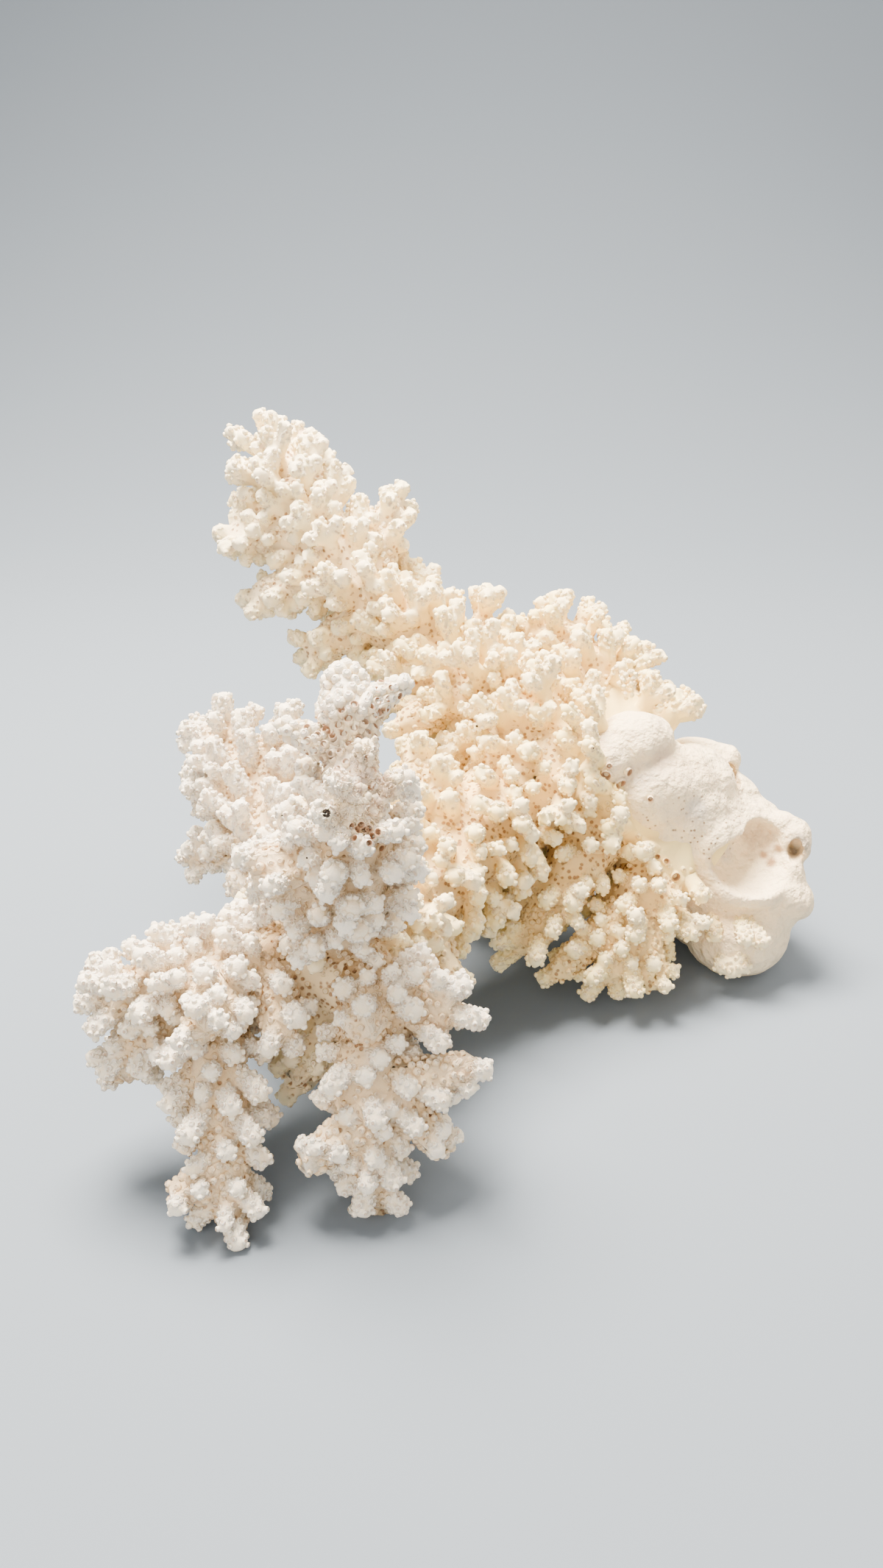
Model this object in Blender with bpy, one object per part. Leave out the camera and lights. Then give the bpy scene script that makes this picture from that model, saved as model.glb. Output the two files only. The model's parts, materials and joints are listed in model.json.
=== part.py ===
"""A bleached staghorn coral colony, lying on its side as it rests on a table.

The colony grew from a holdfast, the smooth worn lump at +X. A trunk leaves it and
forks into lobes, and every lobe is a core covered in fingers, the short branchlets
that carry the coral's cups. Each main lobe is one solid, parted from the limb that
bears it by a flat cut across the fork. The front of the colony faces -Y.
"""

import math
import random
from dataclasses import dataclass

import bmesh
import bpy
from mathutils import Matrix, Vector
from mathutils.geometry import intersect_point_line

MM = 0.001

# Where the middle of the colony's footprint lies in the sizes below, in millimetres.
CENTRE = (-1.85, 21.5)

# Sizes of the fingers, in millimetres, and their girth at root, middle, swelling and tip.
FINGER_RADIUS = 4.1
FINGER_GIRTH = (0.80, 1.0, 1.02, 0.90)
SHORTEST_FINGER = 6.0
CLEARANCE = 1.3
FLOOR_CLEARANCE = 1.0
REACH_OF_A_NEIGHBOUR = 60.0

# How far apart two fingers of a lobe stay, as a share of the sum of their radii.
TIP_SPACING = 1.3
FINGER_SPACING = 0.8

# Sizes of the forks, in millimetres.
FORK_GAP = 0.3
FORK_OVERRUN = 4.0
CUT_MARGIN = 2.0
CUT_RIM = 1.5
CUT_DEPTH = 16.0

# Where the trunk is cut from the holdfast, along the trunk's core, and how far that cut reaches.
TRUNK_CUT = 22.0
TRUNK_CUT_REACH = 60.0

# How finely the solids are made, in millimetres and sides.
PATH_STEP = 2.0
VOXEL = 1.7
TUBE_SIDES = 12
SMOOTH_TUBE_SIDES = 24
FINGER_SIDES = 8
GOLDEN_ANGLE = math.radians(137.508)

# Faces kept, as a share of the faces that the fused surface starts with.
KEPT_FACES = 0.029
KEPT_SMOOTH_FACES = 0.027

# Colours: the front lobes are whiter than the sheltered ones, and the holdfast is cream.
WHITE = (0.86, 0.83, 0.77)
CREAM = (0.85, 0.77, 0.63)
WORN = (0.85, 0.79, 0.69)
WHITE_LOBES = ("upper_lobe", "left_lobe", "left_leg", "right_lobe", "right_leg", "rear_left_lobe")
ROUGHNESS = 0.75

# A block under the table, in metres, that takes off what reaches below it.
FLOOR_BLOCK = (0.6, 0.6, 0.05)


@dataclass(frozen=True)
class Limb:
    """One limb: a core along a path of (x, y, z, radius) in millimetres, with fingers on it.

    A limb that names a parent is cut from it across the fork. One that doesn't is
    fused into the node that it names.
    """

    name: str
    node: str
    path: tuple
    parent: str = ""
    spacing: float = 9.5
    reach: tuple = (17.0, 13.0)
    lean: tuple = (35.0, 50.0)
    crown: int = 6
    bare: float = 0.0
    lift: float = 0.0
    girth: float = 1.0
    is_foot: bool = False
    seed: int = 1


LIMBS = (
    Limb("trunk", "trunk", parent="holdfast", reach=(13, 17), lean=(25, 45), lift=0.35, crown=9,
         bare=6, seed=11,
         path=((106, 64, 36, 30), (83, 67, 50, 29), (50, 65, 68, 28), (18, 59, 83, 25))),
    Limb("crown_lobe", "crown_lobe", parent="trunk", reach=(20, 17), lean=(30, 50), crown=8, seed=12,
         path=((55, 80, 80, 24), (43, 99, 101, 18), (33, 112, 116, 13))),
    Limb("crown_right", "crown_lobe", reach=(15, 13), crown=4, seed=32,
         path=((54, 96, 94, 12), (59, 106, 100, 9), (61, 111, 104, 7))),
    Limb("crown_left", "crown_lobe", reach=(13, 12), crown=4, seed=55,
         path=((44, 98, 102, 12), (30, 103, 116, 9), (22, 106, 123, 7))),
    Limb("back_wing", "back_wing", parent="trunk", reach=(20, 16), lean=(30, 45), crown=7, seed=13,
         path=((18, 66, 90, 22), (-11, 86, 110, 17), (-36, 101, 128, 14), (-58, 113, 147, 14),
               (-78, 128, 170, 14), (-89, 139, 187, 10), (-92, 142, 192, 8))),
    Limb("wing_ridge", "back_wing", reach=(16, 14), crown=5, seed=33,
         path=((6, 82, 108, 12), (0, 94, 122, 9), (-3, 100, 129, 7))),
    Limb("wing_left", "back_wing", reach=(11, 9), crown=4, seed=34,
         path=((-73, 121, 161, 10), (-92, 119, 165, 8), (-103, 116, 166, 6))),
    Limb("wing_under", "back_wing", reach=(11, 9), crown=4, seed=53,
         path=((-58, 112, 149, 11), (-80, 110, 147, 8), (-94, 108, 143, 6))),
    Limb("wing_front", "back_wing", reach=(11, 9), crown=4, seed=54,
         path=((-14, 78, 110, 10), (-24, 66, 106, 8), (-31, 60, 104, 7))),
    Limb("wing_low", "back_wing", reach=(11, 9), crown=4, seed=35,
         path=((-44, 104, 136, 12), (-60, 104, 128, 9), (-71, 103, 121, 7))),
    Limb("wing_spur", "back_wing", reach=(11, 9), crown=4, seed=14,
         path=((-50, 109, 145, 9), (-45, 118, 162, 7), (-42, 124, 174, 6))),
    Limb("front_stem", "front_stem", parent="trunk", reach=(15, 13), lean=(25, 35), crown=0, seed=15,
         path=((18, 57, 82, 24), (-9, 24, 69, 20), (-36, -13, 61, 18), (-58, -46, 61, 16))),
    Limb("stem_low", "front_stem", reach=(9, 8), crown=4, seed=52,
         path=((-58, -46, 58, 12), (-63, -58, 40, 9), (-68, -66, 26, 6))),
    Limb("stem_right", "front_stem", reach=(11, 9), crown=4, seed=36,
         path=((-31, -13, 61, 11), (-23, -26, 51, 8), (-19, -30, 47, 6))),
    Limb("stem_top", "front_stem", reach=(11, 9), crown=4, seed=56,
         path=((-16, 16, 78, 12), (-24, 22, 92, 9), (-30, 26, 99, 6))),
    Limb("upper_lobe", "upper_lobe", parent="front_stem", reach=(15, 12), lean=(25, 40), crown=4,
         seed=16,
         path=((-58, -46, 61, 16), (-55, -55, 89, 16), (-50, -64, 114, 14), (-46, -70, 132, 10))),
    Limb("upper_left", "upper_lobe", reach=(10, 8), crown=4, seed=37,
         path=((-57, -60, 102, 11), (-67, -69, 107, 9), (-73, -72, 110, 6))),
    Limb("prong", "upper_lobe", reach=(6, 6), crown=4, bare=40, seed=17,
         path=((-46, -70, 129, 9), (-49, -62, 144, 8), (-52, -56, 155, 8))),
    Limb("prong_left", "upper_lobe", crown=0, bare=40, seed=38,
         path=((-49, -63, 142, 6), (-57, -65, 148, 5), (-64, -65, 152, 4))),
    Limb("prong_right", "upper_lobe", crown=0, bare=40, seed=39,
         path=((-48, -59, 151, 6), (-40, -54, 158, 5), (-32, -51, 161, 4))),
    Limb("rear_left_lobe", "rear_left_lobe", parent="front_stem", reach=(15, 13), lean=(30, 45),
         crown=6, seed=18,
         path=((-61, -38, 67, 14), (-77, -12, 82, 14), (-92, 8, 99, 12), (-100, 20, 112, 8))),
    Limb("rear_left_ridge", "rear_left_lobe", reach=(11, 9), crown=4, seed=40,
         path=((-82, -5, 90, 11), (-80, 8, 107, 9), (-79, 15, 116, 7))),
    Limb("rear_left_spur", "rear_left_lobe", reach=(8, 7), crown=3, seed=19,
         path=((-80, -7, 82, 8), (-101, 2, 78, 6), (-111, 5, 73, 5))),
    Limb("left_lobe", "left_lobe", parent="front_stem", reach=(14, 11), lean=(25, 45), crown=6,
         seed=20,
         path=((-60, -48, 60, 16), (-79, -57, 61, 14), (-97, -64, 64, 13), (-112, -71, 66, 10),
               (-121, -75, 65, 7))),
    Limb("left_front", "left_lobe", reach=(9, 8), crown=4, seed=41,
         path=((-92, -68, 66, 10), (-92, -84, 66, 8), (-94, -91, 65, 6))),
    Limb("left_low", "left_lobe", reach=(10, 8), crown=4, seed=42,
         path=((-106, -66, 63, 11), (-117, -74, 50, 9), (-123, -78, 41, 7))),
    Limb("left_inner", "left_lobe", reach=(9, 8), crown=3, seed=43,
         path=((-78, -61, 64, 9), (-73, -74, 59, 7), (-72, -79, 57, 6))),
    Limb("left_leg", "left_leg", parent="left_lobe", reach=(14, 9), lean=(20, 35), crown=0,
         is_foot=True, seed=21,
         path=((-95, -64, 58, 12), (-93, -82, 45, 10), (-90, -95, 29, 8), (-87, -105, 14, 6),
               (-86, -109, 3, 5))),
    Limb("left_toe", "left_leg", reach=(7, 6), crown=3, bare=40, seed=44,
         path=((-88, -102, 19, 7), (-97, -108, 16, 6), (-102, -109, 15, 4))),
    Limb("right_lobe", "right_lobe", parent="front_stem", reach=(14, 11), lean=(25, 45), crown=5,
         seed=22,
         path=((-58, -49, 59, 16), (-43, -63, 58, 13), (-31, -70, 57, 10), (-21, -73, 58, 7))),
    Limb("right_front", "right_lobe", reach=(9, 8), crown=4, seed=45,
         path=((-42, -67, 59, 9), (-43, -78, 59, 8), (-44, -84, 59, 6))),
    Limb("right_leg", "right_leg", parent="right_lobe", reach=(11, 8), lean=(25, 35), crown=0,
         is_foot=True, seed=23,
         path=((-41, -67, 54, 12), (-44, -85, 43, 10), (-44, -95, 27, 8), (-42, -99, 12, 6),
               (-40, -100, 3, 5))),
    Limb("right_arm", "right_leg", reach=(8, 7), crown=4, seed=46,
         path=((-42, -85, 43, 7), (-27, -87, 42, 6), (-14, -86, 44, 5))),
    Limb("right_arm_low", "right_leg", reach=(7, 6), crown=3, seed=47,
         path=((-40, -89, 37, 7), (-27, -92, 28, 6), (-21, -93, 20, 5))),
    Limb("right_toe", "right_leg", reach=(7, 6), crown=2, bare=40, seed=48,
         path=((-44, -95, 30, 7), (-54, -101, 27, 6), (-60, -104, 23, 5))),
    Limb("right_fan", "right_fan", parent="trunk", reach=(15, 12), lean=(30, 45), crown=4, seed=24,
         path=((71, 50, 50, 18), (60, 30, 36, 13), (52, 18, 25, 9), (48, 13, 19, 7))),
    Limb("right_fan_outer", "right_fan", reach=(9, 7), crown=3, seed=49,
         path=((58, 26, 34, 8), (62, 13, 22, 6), (63, 8, 15, 5))),
    Limb("right_fan_inner", "right_fan", reach=(9, 7), crown=3, seed=50,
         path=((53, 24, 36, 8), (37, 14, 27, 6), (27, 8, 20, 5))),
    Limb("middle_fan", "middle_fan", parent="trunk", reach=(14, 12), lean=(30, 45), crown=4, seed=25,
         path=((40, 45, 62, 16), (30, 28, 48, 11), (20, 17, 37, 8), (14, 12, 31, 6))),
    Limb("middle_fan_inner", "middle_fan", reach=(9, 7), crown=3, seed=51,
         path=((32, 32, 50, 9), (15, 28, 46, 7), (7, 25, 41, 5))),
    Limb("rear_leg", "rear_leg", parent="trunk", reach=(13, 10), lean=(25, 35), crown=3,
         is_foot=True, seed=26,
         path=((14, 64, 84, 18), (-6, 80, 56, 13), (-20, 90, 26, 9), (-26, 93, 10, 6),
               (-28, 94, 2, 4))),
)

# Where the skin is smooth and no finger grows: centre and radius in millimetres.
BALD = (
    ((70, 56, 92), 17),
    ((98, 42, 66), 19),
    ((114, 44, 40), 22),
    ((102, 70, 70), 24),
)

# The lumps and hollows of the worn skin: centre and half sizes in millimetres.
HOLDFAST_LUMPS = (
    ((95, 64, 36), (27, 33, 40)),
    ((105, 50, 24), (25, 27, 18)),
    ((88, 80, 65), (17, 17, 17)),
    ((99, 82, 70), (12, 11, 12)),
    ((126, 55, 48), (9, 9, 9)),
    ((121, 46, 34), (14, 13, 10)),
    ((112, 62, 36), (18, 20, 20)),
    ((70, 62, 79), (21, 18, 20)),
)
HOLDFAST_HOLLOWS = (
    ((115, 33, 57), (18, 17, 17)),
    ((112, 79, 64), (7, 6, 6)),
    ((130, 46, 50), (3.2, 8, 3.2)),
)
SHOULDER = ((68, 61, 80), (20, 17, 20))

# Three short fingers under the holdfast's lip: root and tip.
LIP_FINGERS = (
    ((88, 40, 33), (86, 25, 27)),
    ((99, 36, 27), (99, 21, 19)),
    ((91, 38, 16), (89, 24, 8)),
)


def vector(x, y, z):
    """A point given in millimetres, as metres about the middle of the footprint."""
    return Vector(((x - CENTRE[0]) * MM, (y - CENTRE[1]) * MM, z * MM))


def remove_everything():
    """Clears the scene that the script is run in."""
    for thing in list(bpy.data.objects):
        bpy.data.objects.remove(thing, do_unlink=True)


def catmull_rom(before, start, end, after, share):
    """A value on the smooth curve from start to end, before and after being its neighbours."""
    return 0.5 * (2 * start + (end - before) * share
                  + (2 * before - 5 * start + 4 * end - after) * share ** 2
                  + (3 * start - before - 3 * end + after) * share ** 3)


class Core:
    """The smooth centre line of a limb, as evenly spaced points with a radius each, in metres."""

    def __init__(self, limb):
        self.limb = limb
        knots = [vector(*point[:3]) for point in limb.path]
        widths = [point[3] * MM for point in limb.path]
        knots = [2 * knots[0] - knots[1], *knots, 2 * knots[-1] - knots[-2]]
        widths = [widths[0], *widths, widths[-1]]
        self.points = []
        self.radii = []
        for i in range(1, len(knots) - 2):
            steps = max(2, round((knots[i + 1] - knots[i]).length / (PATH_STEP * MM)))
            for k in range(steps):
                share = k / steps
                self.points.append(catmull_rom(*knots[i - 1:i + 3], share))
                self.radii.append(catmull_rom(*widths[i - 1:i + 3], share))
        self.points.append(knots[-2])
        self.radii.append(widths[-2])
        self.along = [0.0]
        for a, b in zip(self.points, self.points[1:]):
            self.along.append(self.along[-1] + (b - a).length)
        self.length = self.along[-1]
        self.cut_at = 0.0

    def at(self, distance):
        """The point, direction and radius at a distance along the core."""
        distance = min(max(distance, 0.0), self.length)
        i = next((k for k in range(1, len(self.along)) if self.along[k] >= distance), len(self.along) - 1)
        span = self.along[i] - self.along[i - 1]
        share = (distance - self.along[i - 1]) / span
        point = self.points[i - 1].lerp(self.points[i], share)
        radius = self.radii[i - 1] + (self.radii[i] - self.radii[i - 1]) * share
        return point, (self.points[i] - self.points[i - 1]).normalized(), radius

    def stretch(self, start, end):
        """Points and radii of the part of the core between two distances."""
        count = max(2, round((end - start) / (PATH_STEP * MM)))
        found = [self.at(start + (end - start) * k / count) for k in range(count + 1)]
        return [f[0] for f in found], [f[2] for f in found]

    def stretch_room(self, start, end, point):
        """How far a point is from the surface of a stretch of the core."""
        points, radii = self.stretch(start, end)
        best = math.inf
        for i in range(len(points) - 1):
            foot, share = intersect_point_line(point, points[i], points[i + 1])
            foot = points[i] if share < 0 else points[i + 1] if share > 1 else foot
            best = min(best, (point - foot).length - radii[i])
        return best


@dataclass
class Finger:
    """One branchlet: three points of its curve, and its radius, in metres."""

    points: list
    radius: float
    node: str
    limb: str


def gap_between(a, b, c, d):
    """The shortest distance between the straight stretches a to b and c to d."""
    u, v, w = b - a, d - c, a - c
    uu, uv, vv, uw, vw = u.dot(u), u.dot(v), v.dot(v), u.dot(w), v.dot(w)
    spread = uu * vv - uv * uv
    s = min(max((uv * vw - vv * uw) / spread, 0.0), 1.0) if spread > 1e-14 else 0.0
    t = (uv * s + vw) / vv if vv > 1e-14 else 0.0
    if t < 0.0 or t > 1.0:
        t = min(max(t, 0.0), 1.0)
        s = min(max((uv * t - uw) / uu, 0.0), 1.0) if uu > 1e-14 else 0.0
    return ((a + u * s) - (c + v * t)).length


def distance_to_core(point, core):
    """Distance from a point to a core's centre line, the core's radius there, and the nearest point."""
    best = (math.inf, 0.0, point)
    for i in range(len(core.points) - 1):
        a, b = core.points[i], core.points[i + 1]
        foot, share = intersect_point_line(point, a, b)
        foot = a if share < 0 else b if share > 1 else foot
        away = (point - foot).length
        if away < best[0]:
            best = (away, core.radii[i], foot)
    return best


def find_cut(core, parent):
    """How far along a limb its fork is cut: where its round section first stands clear of the parent."""
    distance = 0.0
    while distance < core.length:
        point, tangent, radius = core.at(distance)
        away, parent_radius, foot = distance_to_core(point, parent)
        if away > 1e-6:
            outwards = (point - foot) / away
            tilt = math.sqrt(max(0.0, 1 - tangent.dot(outwards) ** 2))
            if away - parent_radius - (radius + CUT_MARGIN * MM) * tilt > 0:
                return distance
        distance += 0.5 * MM
    raise ValueError(f"{core.limb.name} never leaves {parent.limb.name}")


def side_directions(tangent):
    """Two directions square to a tangent and to each other."""
    first = tangent.cross(Vector((0, 0, 1)) if abs(tangent.z) < 0.9 else Vector((1, 0, 0))).normalized()
    return first, tangent.cross(first)


def curve_of(root, direction, tangent, reach):
    """The three points of a finger that starts out along direction and curls towards the limb's tip."""
    curled = (direction + 0.3 * tangent).normalized()
    middle = root + direction * reach * 0.5
    return [root, middle, middle + curled * reach * 0.5]


class Colony:
    """All cores and the fingers grown so far, so that each new finger keeps clear of them."""

    def __init__(self, limbs):
        self.cores = {limb.name: Core(limb) for limb in limbs}
        self.fingers = []
        for core in self.cores.values():
            if core.limb.parent in self.cores:
                core.cut_at = find_cut(core, self.cores[core.limb.parent])
            elif core.limb.parent:
                core.cut_at = TRUNK_CUT * MM

    def node_of(self, limb, distance):
        """The node that owns a limb at a distance along it: up to its cut, a limb is its parent's stub."""
        core = self.cores[limb.name]
        if not limb.parent or distance >= core.cut_at:
            return limb.node
        return self.bearer(limb)

    def bearer(self, limb):
        """The node that bears a limb."""
        return self.cores[limb.parent].limb.node if limb.parent in self.cores else limb.parent

    def clear_of_cores(self, samples, radius, node, own):
        """Whether a finger stands clear of the cores of other nodes, and isn't buried in one of its own."""
        for core in self.cores.values():
            at, tangent, _ = core.at(core.cut_at)
            for start, end in ((0.0, core.cut_at), (core.cut_at, core.length)):
                if end - start < 0.5 * MM:
                    continue
                owner = self.node_of(core.limb, start)
                if owner == node and core.limb.name == own:
                    continue
                keep = 0.0 if owner == node else CLEARANCE * MM
                for sample in samples[-1:] if owner == node else samples:
                    ahead = (sample - at).dot(tangent) if core.cut_at else 1.0
                    if core.cut_at and (ahead < -radius * 0.7 if start else ahead > radius * 0.7):
                        continue
                    if core.stretch_room(start, end, sample) < radius + keep:
                        return False
        return True

    def is_inside(self, point, own):
        """Whether a point lies inside another limb than its own."""
        return any(
            core.stretch_room(0.0, core.length, point) < 0
            for core in self.cores.values() if core.limb.name != own
        )

    def clear_of_fingers(self, points, radius, node):
        """Whether a finger stands clear of other nodes' fingers, and apart from those of its own."""
        for other in self.fingers:
            if (other.points[1] - points[1]).length > REACH_OF_A_NEIGHBOUR * MM:
                continue
            both = radius + other.radius
            if other.node == node:
                if (other.points[2] - points[2]).length < TIP_SPACING * both:
                    return False
                if gap_between(points[1], points[2], other.points[1], other.points[2]) < FINGER_SPACING * both:
                    return False
                continue
            for a, b in zip(points, points[1:]):
                for c, d in zip(other.points, other.points[1:]):
                    if gap_between(a, b, c, d) < both + CLEARANCE * MM:
                        return False
        return True

    def room_for(self, points, radius, limb, node):
        """Whether there is room for a finger."""
        samples = [points[0].lerp(points[1], 0.6), points[1], points[1].lerp(points[2], 0.5), points[2]]
        if any((s - vector(*centre)).length < size * MM for centre, size in BALD for s in samples[1:]):
            return False
        lowest = min(s.z for s in samples) - radius
        if lowest < FLOOR_CLEARANCE * MM and not limb.is_foot:
            return False
        if not self.clear_of_fingers(points, radius, node):
            return False
        return self.clear_of_cores(samples, radius, node, limb.name)

    def try_finger(self, limb, node, root, direction, tangent, reach, radius, buried):
        """Grows a finger, shorter where there is little room, or none where there is no room at all."""
        while reach > SHORTEST_FINGER * MM:
            points = curve_of(root, direction, tangent, reach + buried)
            if self.room_for(points, radius, limb, node):
                self.fingers.append(Finger(points, radius, node, limb.name))
                return
            reach *= 0.8

    def grow(self, limb):
        """Covers one limb with fingers, on a spiral that keeps them evenly spaced, and crowns its tip."""
        core = self.cores[limb.name]
        dice = random.Random(limb.seed)
        radius = FINGER_RADIUS * MM * limb.girth
        self.crown_tip(limb, core, dice, radius)
        distance = limb.bare * MM
        turn = dice.uniform(0, 2 * math.pi)
        while distance < core.length:
            point, tangent, core_radius = core.at(distance)
            share = distance / core.length
            first, second = side_directions(tangent)
            angle = turn + dice.uniform(-0.25, 0.25)
            outwards = first * math.cos(angle) + second * math.sin(angle)
            lean = math.radians(limb.lean[0] + (limb.lean[1] - limb.lean[0]) * share + dice.uniform(-8, 8))
            direction = (outwards * math.cos(lean) + tangent * math.sin(lean)).normalized()
            reach = (limb.reach[0] + (limb.reach[1] - limb.reach[0]) * share) * dice.uniform(0.8, 1.15) * MM
            reach *= 1 + limb.lift * outwards.z
            buried = 0.75 * core_radius
            root = point + outwards * core_radius - direction * buried
            girth = radius * dice.uniform(0.9, 1.1)
            here = distance
            turn += GOLDEN_ANGLE
            distance += limb.spacing ** 2 * MM * MM / (2 * math.pi * core_radius)
            if self.is_inside(point + outwards * core_radius, limb.name):
                continue
            if not core.cut_at or abs(here - core.cut_at) > girth:
                node = self.node_of(limb, here)
                self.try_finger(limb, node, root, direction, tangent, reach, girth, buried)

    def crown_tip(self, limb, core, dice, radius):
        """Spreads fingers over the rounded end of a limb."""
        point, tangent, core_radius = core.at(core.length)
        first, second = side_directions(tangent)
        for k in range(limb.crown):
            tilt = math.acos(1 - 0.75 * (k + 0.3) / limb.crown)
            angle = k * GOLDEN_ANGLE + dice.uniform(-0.2, 0.2)
            outwards = first * math.cos(angle) + second * math.sin(angle)
            direction = (tangent * math.cos(tilt) + outwards * math.sin(tilt)).normalized()
            reach = limb.reach[1] * dice.uniform(0.85, 1.1) * MM
            self.try_finger(limb, limb.node, point, direction, tangent, reach, radius, core_radius * 0.8)


def add_tube(bm, points, radii, sides):
    """Adds a closed tube with domed ends to a mesh."""
    rings = []
    last = len(points) - 1
    tangents = [(points[min(i + 1, last)] - points[max(i - 1, 0)]).normalized() for i in range(last + 1)]
    first, _ = side_directions(tangents[0])
    for point, radius, tangent in zip(points, radii, tangents):
        first = (first - tangent * first.dot(tangent)).normalized()
        second = tangent.cross(first)
        rings.append([
            bm.verts.new(point + (first * math.cos(a) + second * math.sin(a)) * radius)
            for a in (2 * math.pi * k / sides for k in range(sides))
        ])
    for lower, upper in zip(rings, rings[1:]):
        for k in range(sides):
            bm.faces.new((lower[k], lower[(k + 1) % sides], upper[(k + 1) % sides], upper[k]))
    bm.faces.new(list(reversed(rings[0])))
    bm.faces.new(rings[-1])


def dome(points, radii, steps=3):
    """Points and radii of a tube with its last end rounded off over one radius."""
    end, radius = points[-1], radii[-1]
    tangent = (points[-1] - points[-2]).normalized()
    for k in range(1, steps + 1):
        angle = 0.5 * math.pi * k / (steps + 0.4)
        points = [*points, end + tangent * radius * math.sin(angle)]
        radii = [*radii, radius * math.cos(angle)]
    return points, radii


def add_finger(bm, finger):
    """Adds a finger, a little club: narrow at its root and round at its tip."""
    a, b, c = finger.points
    centres = [a, a.lerp(b, 0.5), b, b.lerp(c, 0.6), c - (c - b).normalized() * finger.radius * 0.6]
    shape = (FINGER_GIRTH[0], FINGER_GIRTH[0], FINGER_GIRTH[1], FINGER_GIRTH[2], FINGER_GIRTH[3])
    centres, radii = dome(centres, [finger.radius * s for s in shape])
    add_tube(bm, centres, radii, FINGER_SIDES)


def new_object(name, bm):
    """An object that holds the mesh."""
    mesh = bpy.data.meshes.new(name)
    bmesh.ops.recalc_face_normals(bm, faces=bm.faces)
    bm.to_mesh(mesh)
    bm.free()
    thing = bpy.data.objects.new(name, mesh)
    bpy.context.scene.collection.objects.link(thing)
    return thing


def apply_modifiers(thing):
    """Replaces an object's mesh by what its modifiers make of it."""
    bpy.context.view_layer.update()
    graph = bpy.context.evaluated_depsgraph_get()
    made = bpy.data.meshes.new_from_object(thing.evaluated_get(graph))
    thing.modifiers.clear()
    thing.data = made


def keep_largest_shell(thing):
    """Deletes every loose shell but the one with the most faces, such as a bubble sealed inside."""
    bm = bmesh.new()
    bm.from_mesh(thing.data)
    unseen = set(bm.verts)
    shells = []
    while unseen:
        start = unseen.pop()
        shell, edge = {start}, [start]
        while edge:
            vert = edge.pop()
            for link in vert.link_edges:
                other = link.other_vert(vert)
                if other in unseen:
                    unseen.discard(other)
                    shell.add(other)
                    edge.append(other)
        shells.append(shell)
    shells.sort(key=len, reverse=True)
    stray = [v for shell in shells[1:] for v in shell]
    bmesh.ops.delete(bm, geom=stray, context="VERTS")
    bmesh.ops.triangulate(bm, faces=bm.faces)
    bm.to_mesh(thing.data)
    bm.free()


def fuse(thing, smoothing):
    """Melts an object's overlapping shells into one surface."""
    remesh = thing.modifiers.new("fuse", "REMESH")
    remesh.mode = "VOXEL"
    remesh.voxel_size = VOXEL * MM
    smooth = thing.modifiers.new("soften", "SMOOTH")
    smooth.factor = 0.5
    smooth.iterations = smoothing
    apply_modifiers(thing)
    keep_largest_shell(thing)


def thin(thing, kept):
    """Thins an object's faces to a share of what they are."""
    fewer = thing.modifiers.new("thin", "DECIMATE")
    fewer.ratio = kept
    apply_modifiers(thing)


def new_cutter(bm):
    """A helper that is cut out of a solid."""
    block = new_object("cutter", bm)
    block.hide_render = True
    block.display_type = "WIRE"
    return block


def round_cutter(point, direction, radius, depth):
    """A short round cutter that starts at a point and runs along a direction."""
    bm = bmesh.new()
    add_tube(bm, [point, point + direction * depth], [radius, radius], SMOOTH_TUBE_SIDES)
    return new_cutter(bm)


def subtract(thing, cutter):
    """Cuts one object out of another, and deletes the cutter."""
    cut = thing.modifiers.new("cut", "BOOLEAN")
    cut.operation = "DIFFERENCE"
    cut.solver = "EXACT"
    cut.object = cutter
    apply_modifiers(thing)
    bpy.data.objects.remove(cutter, do_unlink=True)


def add_lump(bm, centre, size):
    """Adds an ellipsoid: its centre and half sizes in millimetres."""
    place = Matrix.Translation(vector(*centre)) @ Matrix.Diagonal((*[s * MM for s in size], 1))
    bmesh.ops.create_icosphere(bm, subdivisions=3, radius=1, matrix=place)


def build_holdfast(colony):
    """The worn lump by which the colony held on to the reef."""
    bm = bmesh.new()
    for lump in HOLDFAST_LUMPS:
        add_lump(bm, *lump)
    core = colony.cores["trunk"]
    add_tube(bm, *core.stretch(0.0, core.cut_at + FORK_OVERRUN * MM), SMOOTH_TUBE_SIDES)
    for root, tip in LIP_FINGERS:
        root, tip = vector(*root), vector(*tip)
        add_finger(bm, Finger([root, root.lerp(tip, 0.5), tip], FINGER_RADIUS * MM, "holdfast", "holdfast"))
    holdfast = new_object("holdfast", bm)
    fuse(holdfast, smoothing=4)
    for hollow in HOLDFAST_HOLLOWS:
        bm = bmesh.new()
        add_lump(bm, *hollow)
        subtract(holdfast, new_cutter(bm))
    thin(holdfast, KEPT_SMOOTH_FACES)
    cut_away(holdfast, core, 1, TRUNK_CUT_REACH * MM, TRUNK_CUT_REACH * MM)
    return holdfast


def cut_away(thing, core, side, radius, depth):
    """Cuts an object off at a limb's fork: what is past it for a side of 1, and before it for -1."""
    point, tangent, _ = core.at(core.cut_at)
    start = point - tangent * side * FORK_GAP * 0.5 * MM
    subtract(thing, round_cutter(start, tangent * side, radius, depth))


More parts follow.
